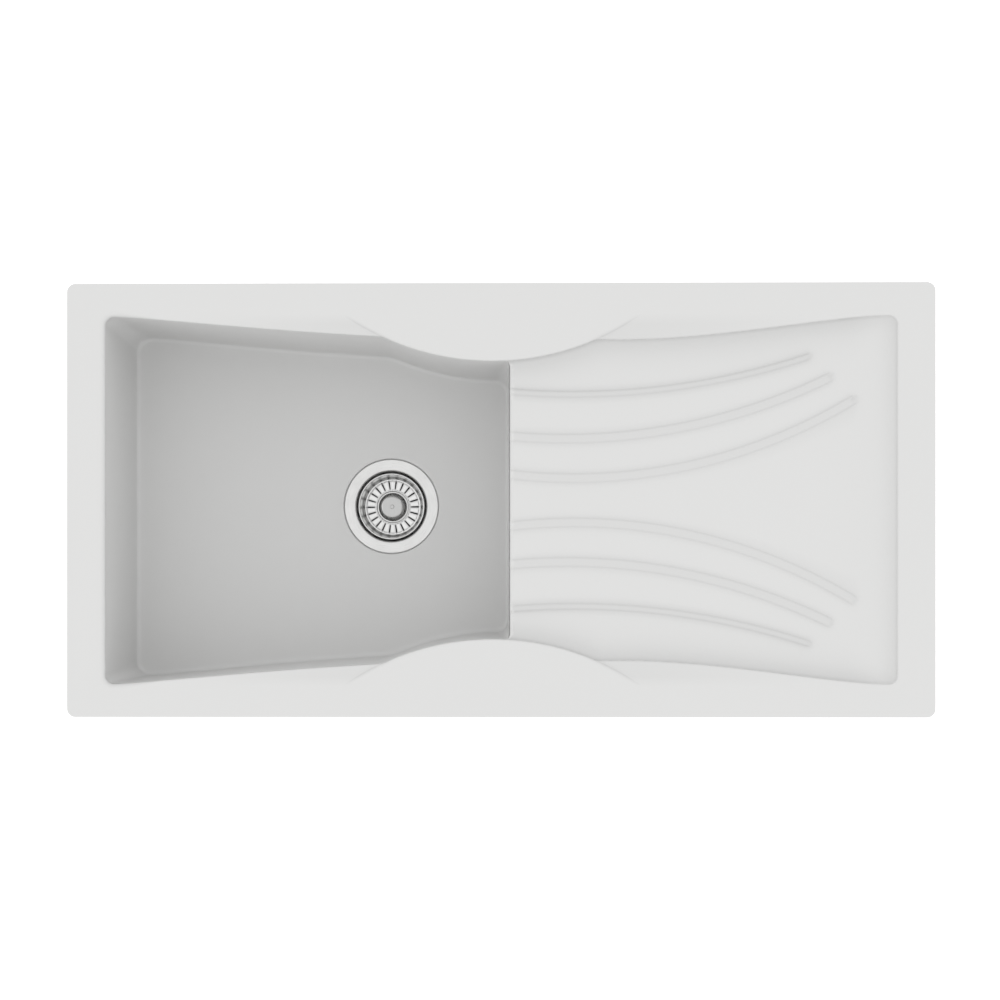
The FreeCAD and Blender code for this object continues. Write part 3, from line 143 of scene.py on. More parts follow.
class Effects:
    """The effects that several materials share, each built once as a node group."""

    def __init__(self) -> None:
        """Build every group."""
        self.grain = self._grain()
        self.turned = self._turned()
        self.wear = self._wear()

    @staticmethod
    def _group(name: str, inputs: dict[str, float], outputs: tuple[str, ...]) -> tuple:
        """Start a group with float inputs and outputs, a vector input first.

        Args:
            name: the group's name.
            inputs: each float input's name and starting value.
            outputs: the float outputs' names.

        Returns:
            The group, its tree helper, its input node and its output node.
        """
        group = bpy.data.node_groups.new(name, "ShaderNodeTree")
        group.interface.new_socket("Place", in_out="INPUT", socket_type="NodeSocketVector")
        for label, value in inputs.items():
            socket = group.interface.new_socket(
                label, in_out="INPUT", socket_type="NodeSocketFloat")
            socket.default_value = value
        for label in outputs:
            group.interface.new_socket(label, in_out="OUTPUT", socket_type="NodeSocketFloat")
        tree = NodeTree(group)
        return group, tree, tree.add("NodeGroupInput"), tree.add("NodeGroupOutput")

    def _grain(self) -> bpy.types.NodeTree:
        """Fine grain with broad clouds: the tone and height of a moulded, cast or rubber surface.

        Returns:
            The group. Tone and Height run from 0 to 1 about one half.
        """
        inputs = {"Grains per metre": 900.0, "Clouds per metre": 6.0}
        group, tree, start, end = self._group("surface_grain", inputs, ("Tone", "Clouds", "Height"))
        place = start.outputs["Place"]
        fine = tree.add("ShaderNodeTexNoise", {
            "Vector": place, "Scale": start.outputs["Grains per metre"],
            "Detail": 3.0, "Roughness": 0.6})
        broad = tree.add("ShaderNodeTexNoise", {
            "Vector": place, "Scale": start.outputs["Clouds per metre"],
            "Detail": 4.0, "Roughness": 0.55})
        cell_scale = tree.math("MULTIPLY", start.outputs["Grains per metre"], 0.45)
        cells = tree.add("ShaderNodeTexVoronoi", {"Vector": place, "Scale": cell_scale})
        speck = tree.span(cells.outputs["Distance"], 0.05, 0.22, 0.0, 1.0)
        tone = tree.math("MULTIPLY_ADD", speck, 0.35,
                         tree.math("MULTIPLY", fine.outputs["Fac"], 0.65))
        for label, value in (("Tone", tone), ("Clouds", broad.outputs["Fac"]),
                             ("Height", fine.outputs["Fac"])):
            tree.tree.links.new(value, end.inputs[label])
        return group

    def _turned(self) -> bpy.types.NodeTree:
        """Rings that a brush or a lathe tool leaves round a centre.

        The distance r from the centre line, with a little of the angle, goes into a noise that is
        stretched along the ring, so each ring's tone wanders slowly round the piece.

        Returns:
            The group. Rings and Sweep run from 0 to 1.
        """
        inputs = {"Rings per metre": 3000.0, "Wander": 0.0015}
        group, tree, start, end = self._group("turned_rings", inputs, ("Rings", "Sweep"))
        parts = tree.add("ShaderNodeSeparateXYZ", {0: start.outputs["Place"]})
        x, y, z = parts.outputs
        r = tree.math("SQRT", tree.math("ADD", tree.math("MULTIPLY", x, x),
                                        tree.math("MULTIPLY", y, y)))
        angle = tree.math("ARCTAN2", y, x)
        cos2 = tree.math("COSINE", angle)
        sin2 = tree.math("SINE", angle)
        wander = start.outputs["Wander"]
        scaled = tree.math("MULTIPLY", r, start.outputs["Rings per metre"])
        climb = tree.math("MULTIPLY", z, start.outputs["Rings per metre"])
        bend = tree.math("MULTIPLY", wander, start.outputs["Rings per metre"])
        seed = tree.add("ShaderNodeCombineXYZ", {
            0: tree.math("ADD", scaled, climb),
            1: tree.math("MULTIPLY", cos2, bend), 2: tree.math("MULTIPLY", sin2, bend)})
        rings = tree.add("ShaderNodeTexNoise", {"Vector": seed.outputs[0], "Scale": 1.0,
                                                "Detail": 2.0, "Roughness": 0.5})
        sweep_seed = tree.add("ShaderNodeCombineXYZ", {
            0: tree.math("MULTIPLY", cos2, 1.6), 1: tree.math("MULTIPLY", sin2, 1.6),
            2: tree.math("MULTIPLY", scaled, 0.01)})
        sweep = tree.add("ShaderNodeTexNoise", {"Vector": sweep_seed.outputs[0], "Scale": 1.3,
                                                "Detail": 3.0, "Roughness": 0.6})
        tree.tree.links.new(rings.outputs["Fac"], end.inputs["Rings"])
        tree.tree.links.new(sweep.outputs["Fac"], end.inputs["Sweep"])
        return group

    def _wear(self) -> bpy.types.NodeTree:
        """A mask of a surface's outer edges, broken up by noise.

        Returns:
            The group. Edge is 1 on an edge and 0 on open surface.
        """
        inputs = {"Edge": 0.56, "Scale": 260.0}
        group, tree, start, end = self._group("edge_wear", inputs, ("Mask",))
        geometry = tree.add("ShaderNodeNewGeometry")
        noise = tree.add("ShaderNodeTexNoise", {
            "Vector": start.outputs["Place"], "Scale": start.outputs["Scale"], "Detail": 4.0})
        shaken = tree.math("MULTIPLY_ADD", noise.outputs["Fac"], 0.06,
                           tree.math("SUBTRACT", geometry.outputs["Pointiness"], 0.03))
        high = tree.math("ADD", start.outputs["Edge"], 0.06)
        mask = tree.add("ShaderNodeMapRange", {0: shaken, 1: start.outputs["Edge"], 2: high})
        tree.tree.links.new(mask.outputs[0], end.inputs["Mask"])
        return group


# ---- Finishes ------------------------------------------------------------------------------------
@dataclass(frozen=True)
class Finish:
    """What every finish has: a name, its record slot and its colour and gloss."""

    name: str
    slot: Slot
    colour: tuple[float, float, float]
    roughness: float

    def _start(self) -> tuple[bpy.types.Material, NodeTree, bpy.types.Node]:
        """Make the material with its Principled shader.

        Returns:
            The material, its tree helper and its shader node.
        """
        material = bpy.data.materials.new(self.name)
        material.use_nodes = True
        tree = NodeTree(material.node_tree)
        return material, tree, material.node_tree.nodes["Principled BSDF"]

    @staticmethod
    def _place(tree: NodeTree, centre: tuple[float, float, float] = (0, 0, 0)) -> object:
        """Object coordinates about a centre, given in metres."""
        coordinates = tree.add("ShaderNodeTexCoord")
        back = tuple(-c for c in centre)
        mapping = tree.add("ShaderNodeMapping", {"Vector": coordinates.outputs["Object"],
                                                 "Location": back})
        return mapping.outputs[0]

    def _tones(self, spread: float) -> tuple[tuple, tuple]:
        """The colour a little darker and a little lighter, as two RGBA values."""
        dark = tuple(c * (1 - spread) for c in self.colour) + (1.0,)
        light = tuple(min(c * (1 + spread), 1.0) for c in self.colour) + (1.0,)
        return dark, light


@dataclass(frozen=True)
class GrainFinish(Finish):
    """Composite, rubber, foam, plastic or cast metal: a fine even grain over broad clouds."""

    grains: float = 900.0
    clouds: float = 6.0
    spread: float = 0.02
    cloud_spread: float = 0.01
    bump: float = 0.02
    metallic: float = 0.0
    worn: float = 0.0

    def grey(self, tree: NodeTree) -> object | None:
        """How much painted shade darkens the colour, or None for a finish that has none."""
        return None

    def material(self, effects: Effects) -> bpy.types.Material:
        """Make the material.

        Args:
            effects: the shared node groups.

        Returns:
            The finished material.
        """
        material, tree, shader = self._start()
        place = self._place(tree)
        grain = tree.add("ShaderNodeGroup", node_tree=effects.grain)
        tree.tree.links.new(place, grain.inputs["Place"])
        grain.inputs["Grains per metre"].default_value = self.grains
        grain.inputs["Clouds per metre"].default_value = self.clouds
        colour = tree.blend(grain.outputs["Tone"], *self._tones(self.spread))
        clouded = tree.blend(grain.outputs["Clouds"], *self._tones(self.cloud_spread))
        colour = tree.blend(0.5, colour, clouded)
        if self.worn > 0:
            wear = tree.add("ShaderNodeGroup", node_tree=effects.wear)
            tree.tree.links.new(place, wear.inputs["Place"])
            lift = tuple(min(c + self.worn, 1.0) for c in self.colour) + (1.0,)
            colour = tree.blend(wear.outputs["Mask"], colour, lift)
        # painted shade, for a finish that has it: the colour is darkened towards black by this share
        share = self.grey(tree)
        if share is not None:
            colour = tree.blend(share, colour, (0.0, 0.0, 0.0, 1.0))
        tree.tree.links.new(colour, shader.inputs["Base Color"])
        rough = tree.span(grain.outputs["Clouds"], 0.3, 0.7, self.roughness - 0.04,
                          self.roughness + 0.04)
        tree.tree.links.new(rough, shader.inputs["Roughness"])
        shader.inputs["Metallic"].default_value = self.metallic
        bump = tree.add("ShaderNodeBump", {"Height": grain.outputs["Height"],
                                           "Strength": 1.0, "Distance": self.bump * MM})
        tree.tree.links.new(bump.outputs[0], shader.inputs["Normal"])
        return material


@dataclass(frozen=True)
class PaintedShadeMouldedFinish(GrainFinish):
    """The sink's composite, with painted shade laid softly in its hollows and along the tap decks'
    outlines.
    """

    deck: tuple[float, float, float] = (-9.2, 460.0, 300.0)   # circle's x, y and radius, in mm
    line: float = 0.15                                # painted shade of the line
    shade_line_width: float = 5.0
    strip: float = 0.05                               # painted shade of the sloping strip
    strip_shade_fade: tuple[float, float] = (10.0, 150.0)   # from the circle
    shade_line_start: tuple[float, float] = (110.0, 124.0)  # from the circle's x: where the rim begins
    shoulder: tuple[float, float] = (203.0, 214.0)    # from the middle line: where the slope ends
    shaded_rim_z: tuple[float, float] = (3.0, 4.5)           # only the rim's top gets this painted shade

    def grey(self, tree: NodeTree) -> object:
        """How much painted shade darkens the colour.

        It is the mesh's painted shade attribute, and on the rim a painted shade line along each tap
        deck's circle. With d the distance outside the circle in mm and w the shade_line_width, the
        line grows about as ((d + w) / w)^2.5 up to d = 0.2 and stops there. Outside it the sloping
        strip gets a little painted shade, so it is a little darker than the deck.

        Args:
            tree: the material's tree helper.

        Returns:
            The share, from 0 to 1.
        """
        coordinates = tree.add("ShaderNodeTexCoord")
        parts = tree.add("ShaderNodeSeparateXYZ", {0: coordinates.outputs["Object"]})
        x, y, z = (tree.math("DIVIDE", part, MM) for part in parts.outputs)
        across = tree.math("ABSOLUTE", y)
        x_off = tree.math("SUBTRACT", x, self.deck[0])
        y_off = tree.math("SUBTRACT", across, self.deck[1])
        square = tree.math("ADD", tree.math("MULTIPLY", x_off, x_off),
                           tree.math("MULTIPLY", y_off, y_off))
        past = tree.math("SUBTRACT", tree.math("SQRT", square), self.deck[2])
        # painted shade: a dark line along the deck's circle, and a lighter share over the sloping
        # strip
        growth = tree.math("POWER", tree.span(past, -self.shade_line_width, 0.2, 0.0, 1.0), 2.5)
        outside = tree.span(past, 0.2, 1.1, 0.0, 1.0)
        inside = tree.math("SUBTRACT", 1.0, outside)
        from_mouth = tree.span(tree.math("ABSOLUTE", x_off), *self.shade_line_start, 0.0, 1.0)
        to_shoulder = tree.span(across, *self.shoulder, 1.0, 0.0)
        on_rim = tree.span(z, *self.shaded_rim_z, 0.0, 1.0)
        line = tree.math("MULTIPLY", tree.math("MULTIPLY", growth, inside), from_mouth)
        outside = tree.math("MULTIPLY", outside, tree.span(past, *self.strip_shade_fade, 1.0, 0.0))
        tone = tree.math("ADD", tree.math("MULTIPLY", line, self.line),
                         tree.math("MULTIPLY", outside, self.strip))
        tone = tree.math("MULTIPLY", tree.math("MULTIPLY", tone, to_shoulder), on_rim)
        # the mesh's own painted shade, added on
        kept = tree.add("ShaderNodeAttribute", attribute_name="shade").outputs["Fac"]
        return tree.math("ADD", tone, kept)


@dataclass(frozen=True)
class TurnedFinish(Finish):
    """Brushed or lathe-turned metal, with its lines running round a vertical centre line."""

    centre: tuple[float, float, float] = (0.0, 0.0, 0.0)
    rings: float = 3000.0
    spread: float = 0.12
    bump: float = 0.01
    anisotropy: float = 0.6
    on_uv: bool = True

    def material(self, effects: Effects) -> bpy.types.Material:
        """Make the material.

        Args:
            effects: the shared node groups.

        Returns:
            The finished material.
        """
        material, tree, shader = self._start()
        place = self._place(tree, self.centre)
        turned = tree.add("ShaderNodeGroup", node_tree=effects.turned)
        tree.tree.links.new(place, turned.inputs["Place"])
        turned.inputs["Rings per metre"].default_value = self.rings
        colour = tree.blend(turned.outputs["Rings"], *self._tones(self.spread))
        swept = tree.blend(turned.outputs["Sweep"], *self._tones(self.spread * 0.7))
        # the mesh's painted shade darkens the colour towards black
        greyed = tree.add("ShaderNodeAttribute", attribute_name="shade").outputs["Fac"]
        colour = tree.blend(greyed, tree.blend(0.4, colour, swept), (0.0, 0.0, 0.0, 1.0))
        tree.tree.links.new(colour, shader.inputs["Base Color"])
        rough = tree.span(turned.outputs["Rings"], 0.3, 0.7, self.roughness - 0.07,
                          self.roughness + 0.07)
        tree.tree.links.new(rough, shader.inputs["Roughness"])
        shader.inputs["Metallic"].default_value = 1.0
        shader.inputs["Anisotropic"].default_value = self.anisotropy
        if self.on_uv:
            tangent = tree.add("ShaderNodeTangent", direction_type="UV_MAP")
            tangent.uv_map = "UVMap"
        else:
            tangent = tree.add("ShaderNodeTangent", direction_type="RADIAL", axis="Z")
        tree.tree.links.new(tangent.outputs[0], shader.inputs["Tangent"])
        bump = tree.add("ShaderNodeBump", {"Height": turned.outputs["Rings"],
                                           "Strength": 1.0, "Distance": self.bump * MM})
        tree.tree.links.new(bump.outputs[0], shader.inputs["Normal"])
        return material


# ---- Mesh helpers --------------------------------------------------------------------------------
def smooth_profile(points: list[tuple[float, float, float]], steps: int = 6) -> Array:
    """A line through points whose corners are rounded.

    A corner P with radius d gets a quadratic curve (1-t)^2 A + 2t(1-t) P + t^2 B, where A and B lie
    at distance d from P on its two sides, or at under half a side that is shorter.

    Args:
        points: (x, y, d) for each corner, with d the rounding's reach in mm.
        steps: points along each rounding.

    Returns:
        The (n, 2) line.
    """
    corners = np.array([p[:2] for p in points], float)
    line = [corners[0]]
    t = np.linspace(0.0, 1.0, steps)[:, None]
    for i in range(1, len(points) - 1):
        before, here, after = corners[i - 1], corners[i], corners[i + 1]
        reach = points[i][2]
        back, ahead = before - here, after - here
        near = min(reach, 0.49 * np.linalg.norm(back), 0.49 * np.linalg.norm(ahead))
        if near <= 0:
            line.append(here)
            continue
        a = here + back / np.linalg.norm(back) * near
        b = here + ahead / np.linalg.norm(ahead) * near
        line.extend((1 - t) ** 2 * a + 2 * t * (1 - t) * here + t ** 2 * b)
    line.append(corners[-1])
    return np.array(line)


def grid_faces(rows: int, columns: int, wrap: bool) -> Array:
    """Four-sided faces of a grid of points.

    The point of row i and column j has number i * columns + j. A face joins (i, j), (i, j+1),
    (i+1, j+1) and (i+1, j), with j+1 counted round to 0 when the columns wrap.

    Args:
        rows: number of rows.
        columns: points in a row.
        wrap: whether a row closes on itself.

    Returns:
        The (n, 4) array of point numbers.
    """
    i = np.arange(rows - 1)[:, None]
    j = np.arange(columns if wrap else columns - 1)[None, :]
    ahead = (j + 1) % columns
    faces = np.stack([i * columns + j, i * columns + ahead,
                      (i + 1) * columns + ahead, (i + 1) * columns + j], axis=-1)
    return faces.reshape(-1, 4)


def grid_uv(rows: int, columns: int, wrap: bool, rise: Array | None = None) -> Array:
    """The UV of each face corner of grid_faces: u along a row from 0 to 1, v up the rows.

    Args:
        rows: number of rows.
        columns: points in a row.
        wrap: whether a row closes on itself.
        rise: each row's v, or None for even steps from 0 to 1.

    Returns:
        The (n, 4, 2) array of UVs.
    """
    v_row = np.linspace(0, 1, rows) if rise is None else rise
    steps = columns if wrap else columns - 1
    j, i = np.meshgrid(np.arange(steps), np.arange(rows - 1))
    u0, u1 = j / steps, (j + 1) / steps
    v0, v1 = v_row[i], v_row[i + 1]
    corners = np.stack([np.stack([u0, v0], -1), np.stack([u1, v0], -1),
                        np.stack([u1, v1], -1), np.stack([u0, v1], -1)], axis=-2)
    return corners.reshape(-1, 4, 2)


def make_piece(name: str, points: Array, faces: list, body: Body, uv: Array | None = None,
               crease: float = 40.0, closed: bool = False,
               shade: Array | None = None) -> bpy.types.Object:
    """Put a surface into the scene, in metres, riding on a body.

    Args:
        name: the piece's name.
        points: the (n, 3) points in mm.
        faces: the faces as lists or rows of point numbers.
        body: the body that it rides on.
        uv: a UV for each face corner, in the faces' order.
        crease: edges sharper than this angle, in degrees, stay sharp.
        closed: whether the surface is closed, so that its faces can be turned outwards.
        shade: how much painted shade darkens each point, kept as the attribute "shade".

    Returns:
        The new object.
    """
    mesh = bpy.data.meshes.new(name)
    mesh.from_pydata((np.asarray(points, float) * MM).tolist(), [], [list(f) for f in faces])
    if shade is not None:
        layer = mesh.attributes.new("shade", "FLOAT", "POINT")
        layer.data.foreach_set("value", np.asarray(shade, np.float32))
    if uv is not None:
        layer = mesh.uv_layers.new(name="UVMap")
        layer.data.foreach_set("uv", np.asarray(uv, np.float32).ravel())
    work = bmesh.new()
    work.from_mesh(mesh)
    bmesh.ops.remove_doubles(work, verts=work.verts, dist=2e-6)
    bmesh.ops.dissolve_degenerate(work, edges=work.edges, dist=1e-7)
    if closed:
        bmesh.ops.recalc_face_normals(work, faces=work.faces)
    work.to_mesh(mesh)
    work.free()
    mesh.shade_smooth()
    mesh.set_sharp_from_angle(angle=math.radians(crease))
    piece = bpy.data.objects.new(name, mesh)
    bpy.context.scene.collection.objects.link(piece)
    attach(piece, body.value)
    LOG.info("%s: %d faces", name, len(mesh.polygons))
    return piece


def wear(piece: bpy.types.Object, material: bpy.types.Material, slot: Slot) -> None:
    """Give a new piece its one material."""
    piece.data.materials.clear()
    piece.data.materials.append(material)


def dress_node(node: str, material: bpy.types.Material) -> None:
    """Give a carried-over piece its finish."""
    for slot in frame["nodes"][node].material_slots:
        slot.material = material


def turned_points(profile: Array, centre: tuple[float, float], columns: int) -> Array:
    """The points of a surface of revolution: (x + r cos a, y + r sin a, z) for each profile (r, z).

    Args:
        profile: the (n, 2) line of radius and height.
        centre: plan position of the vertical axis.
        columns: points round the axis.

    Returns:
        The (n * columns, 3) points, row by row.
    """
    angles = np.arange(columns) * (2 * math.pi / columns)
    r, z = profile[:, 0:1], profile[:, 1:2]
    x = centre[0] + r * np.cos(angles)
    y = centre[1] + r * np.sin(angles)
    return np.stack([x, y, np.broadcast_to(z, x.shape)], axis=-1).reshape(-1, 3)


def turned_piece(name: str, profile: Array, centre: tuple[float, float], body: Body,
                 columns: int, closed: bool, crease: float) -> bpy.types.Object:
    """A piece turned about a vertical axis.

    Args:
        name: the piece's name.
        profile: the (n, 2) line of radius and height, in mm.
        centre: plan position of the axis, in mm.
        body: the body that it rides on.
        columns: points round the axis.
        closed: whether the profile closes the surface.
        crease: edges sharper than this angle stay sharp.

    Returns:
        The new object.
    """
    steps = np.hypot(*np.diff(profile, axis=0).T)
    rise = np.concatenate([[0.0], np.cumsum(steps)]) / max(steps.sum(), 1e-9)
    points = turned_points(profile, centre, columns)
    faces = grid_faces(len(profile), columns, True)
    uv = grid_uv(len(profile), columns, True, rise)
    return make_piece(name, points, faces, body, uv, crease, closed)


# ---- The moulding --------------------------------------------------------------------------------
FLIP = np.array([1.0, -1.0, 1.0])      # mirrors a point front to back
QUARTER = math.pi / 2
ABOVE = (0.0, 0.0, 4000.0)             # places that a surface's outside faces, in mm
BELOW = (0.0, 0.0, -4000.0)
FAR_BELOW = (0.0, 0.0, -9000.0)


@dataclass(frozen=True)
class Wave:
    """One wave of the opening's outline, from a tap deck out to an end of the opening."""

    side: int
    half: float
    slope: float
    pull: float
    corner_pull: float


@dataclass(frozen=True)
class Ridge:
    """A drainage ridge: an arc from the lip out over the drainboard, with a round end."""

    radius: float
    low_x: float         # where the arc lies nearest to the middle line
    low_y: float
    end_x: float
    width: float
    broad: float         # painted shade of the hollow beside it
    narrow: float        # painted shade of its flanks

    @property
    def centre(self) -> Array:
        """The arc's centre."""
        return np.array([self.low_x, self.low_y + self.radius])

    def distance(self, x: Array, y: Array) -> Array:
        """The distance of plan points to the arc, or past its end to its last point."""
        y = np.abs(y)
        centre = self.centre
        swing = math.asin((self.end_x - self.low_x) / self.radius)
        tip = centre + self.radius * np.array([math.sin(swing), -math.cos(swing)])
        angle = np.arctan2(x - centre[0], centre[1] - y)
        beside = np.abs(np.hypot(x - centre[0], y - centre[1]) - self.radius)
        return np.where(angle > swing, np.hypot(x - tip[0], y - tip[1]), beside)

    def line(self, x: Array, flank: float, level_out: float = 20.0) -> tuple[Array, Array]:
        """The y of the ridge's middle at each x, and how much its slant widens it across.

        Past its end the line runs on and levels out as s d (1 - exp(-t / d)), with slope s, reach
        d = level_out and distance t past the end.
        """
        last = self.end_x + self.width / 2 + flank
        on_arc = np.minimum(x, last) - self.low_x
        root = np.sqrt(self.radius ** 2 - on_arc ** 2)
        slope = on_arc / root
        past = np.maximum(x - last, 0.0)
        run_out = slope * level_out * (1 - np.exp(-past / level_out))
        return self.low_y + self.radius - root + run_out, np.sqrt(1 + slope ** 2)


def ease(share: Array | float) -> Array:
    """The smooth step 3t^2 - 2t^3 of a share t, held at 0 and 1."""
    t = np.clip(share, 0.0, 1.0)
    return t * t * (3.0 - 2.0 * t)


def unit(vector: Array) -> Array:
    """Vectors at length one, along the last axis."""
    length = np.linalg.norm(vector, axis=-1, keepdims=True)
    return vector / np.maximum(length, 1e-12)


def arc_line(centre: Array, start: Array, end: Array, shares: Array) -> Array:
    """Points of the arc about a centre, the short way from start to end."""
    first = math.atan2(*(start - centre)[::-1])
    turn = math.atan2(*(end - centre)[::-1]) - first
    turn = (turn + math.pi) % (2 * math.pi) - math.pi
    angle = first + turn * shares
    radius = np.linalg.norm(start - centre)
    return centre + radius * np.stack([np.cos(angle), np.sin(angle)], axis=-1)


def loop_normals(loop: Array) -> Array:
    """The outward normals of a closed plan loop that runs clockwise, seen from above."""
    ahead = unit(np.roll(loop, -1, axis=0) - loop)
    tangent = unit(ahead + np.roll(ahead, 1, axis=0))
    return np.stack([-tangent[:, 1], tangent[:, 0]], axis=-1)


def closed_loop(side: Array, lip: Array) -> Array:
    """A rear half, then the lip's rear half, and both mirrored to the front, as one closed row."""
    rear = np.concatenate([side[:-1], lip])
    front = rear[-2:0:-1]
    if rear.ndim > 1:
        front = front * FLIP[:rear.shape[1]]
    return np.concatenate([rear, front])


def ring_rows(centre: Array, rays: Array, profile: tuple[tuple[float, float], ...]) -> list[Array]:
    """Rows round a vertical axis along unit rays, one for each (radius, height)."""
    return [np.column_stack([centre + rays * r, np.full(len(rays), z)]) for r, z in profile]


def cut_window(grid: Array, rows: tuple[int, int], columns: tuple[int, int]) -> tuple[Array, Array]:
    """Leave a window out of a grid whose rows close on themselves.

    Args:
        grid: the (rows, columns, 3) points.
        rows: the window's first and last row.
        columns: the window's first and last column.

    Returns:
        The mask of the faces that stay, and the window's border as a closed line of points.
    """
    (r0, r1), (c0, c1) = rows, columns
    width = grid.shape[1]
    row_of, column_of = np.divmod(np.arange((len(grid) - 1) * width), width)
    keep = ~((row_of >= r0) & (row_of < r1) & (column_of >= c0) & (column_of < c1))
    border = np.concatenate([grid[r0, c0:c1], grid[r0:r1, c1], grid[r1, c1:c0:-1],
                             grid[r1:r0:-1, c0]])
    return keep, border


class Skin:
    """A surface gathered from grids, each turned to face the side that it is seen from."""

    def __init__(self) -> None:
        """Start empty."""
        self.points: list[Array] = []
        self.faces: list[Array] = []
        self.shades: list[Array] = []
        self.count = 0

    def rows(self, rows: list[Array], wrap: bool, sight: tuple[float, float, float],
             keep: Array | None = None, shade: Array | None = None) -> None:
        """Add a grid that is given row by row.

        Args:
            rows: (n, 3) arrays in mm, all of one length.
            wrap: whether each row closes on itself.
            sight: a place that most of the grid's outside faces.
            keep: a mask of the faces to keep, in the order of grid_faces.
            shade: how much painted shade darkens each point, row by row, or None for none.
        """
        points = np.concatenate(rows)
        faces = grid_faces(len(rows), len(rows[0]), wrap)
        if keep is not None:
            faces = faces[keep]
        a, b, c, d = (points[faces[:, i]] for i in range(4))
        normals = np.cross(c - a, d - b)
        away = unit(np.array(sight) - (a + b + c + d) / 4)
        if (normals * away).sum() < 0:
            faces = faces[:, ::-1]
        self.points.append(points)
        self.faces.append(faces + self.count)
        self.shades.append(np.zeros(len(points)) if shade is None else np.ravel(shade))
        self.count += len(points)

    def piece(self, name: str, body: Body, crease: float) -> bpy.types.Object:
        """Put the surface into the scene."""
        return make_piece(name, np.concatenate(self.points), np.concatenate(self.faces), body,
                          crease=crease, shade=np.concatenate(self.shades))


@dataclass(frozen=True)
class BowlWall:
    """The bowl's wall, ruled from its loop at the rim down to its loop at the floor."""

    top: Array
    low: Array
    top_z: float
    low_z: float

    def row(self, z: Array, offset: float) -> Array:
        """The wall's points at heights z, moved out by an offset."""
        share = np.clip((self.top_z - z) / (self.top_z - self.low_z), 0.0, 1.0)[:, None]
        flat = self.top * (1 - share) + self.low * share
        flat = flat + loop_normals(flat) * offset
        return np.column_stack([flat, z])

    def fillet(self, floor: float, radius: float, offset: float, steps: int) -> list[Array]:
        """Rows that round the wall into a floor.

        Args:
            floor: the floor's height.
            radius: the rounding's radius.
            offset: how far the wall is moved out.
            steps: number of rows.

        Returns:
            The rows, from the wall to the floor.
        """
        normals = loop_normals(self.low)
        rows = []
        for angle in np.linspace(0.0, QUARTER, steps):
            z = np.full(len(self.low), floor + radius * (1 - math.sin(angle)))
            back = normals * radius * (1 - math.cos(angle))
            rows.append(self.row(z, offset) - np.column_stack([back, np.zeros(len(back))]))
        return rows


@dataclass
class Lines:
    """The plan lines that the moulding's surfaces share, in mm."""

    lip_line: Array       # where the drainboard starts, for each row of its border
    lip_wall: Array       # the bowl's wall along the lip, rear half
    lip_out: Array        # its normals, towards the drainboard
    lip_reach: Array      # how far the lip's rounding stands back from it
    border: Array         # rows of the drainboard's border, rear half
    inner: Array          # grid of the drainboard's floor, rear half
    bowl_rear: Array      # the bowl's outline from the middle of its left end to the lip
    mouth: Array          # the whole opening, as a loop
    outward: Array        # the loop's outward normals
    edge_r: Array         # radius of the opening's edge round the loop
    wall_top: Array       # height where that rounding meets the wall

    @property
    def board(self) -> slice:
        """The drainboard's rear part of the loop."""
        first = len(self.bowl_rear) - 1
        return slice(first, first + self.border.shape[1])


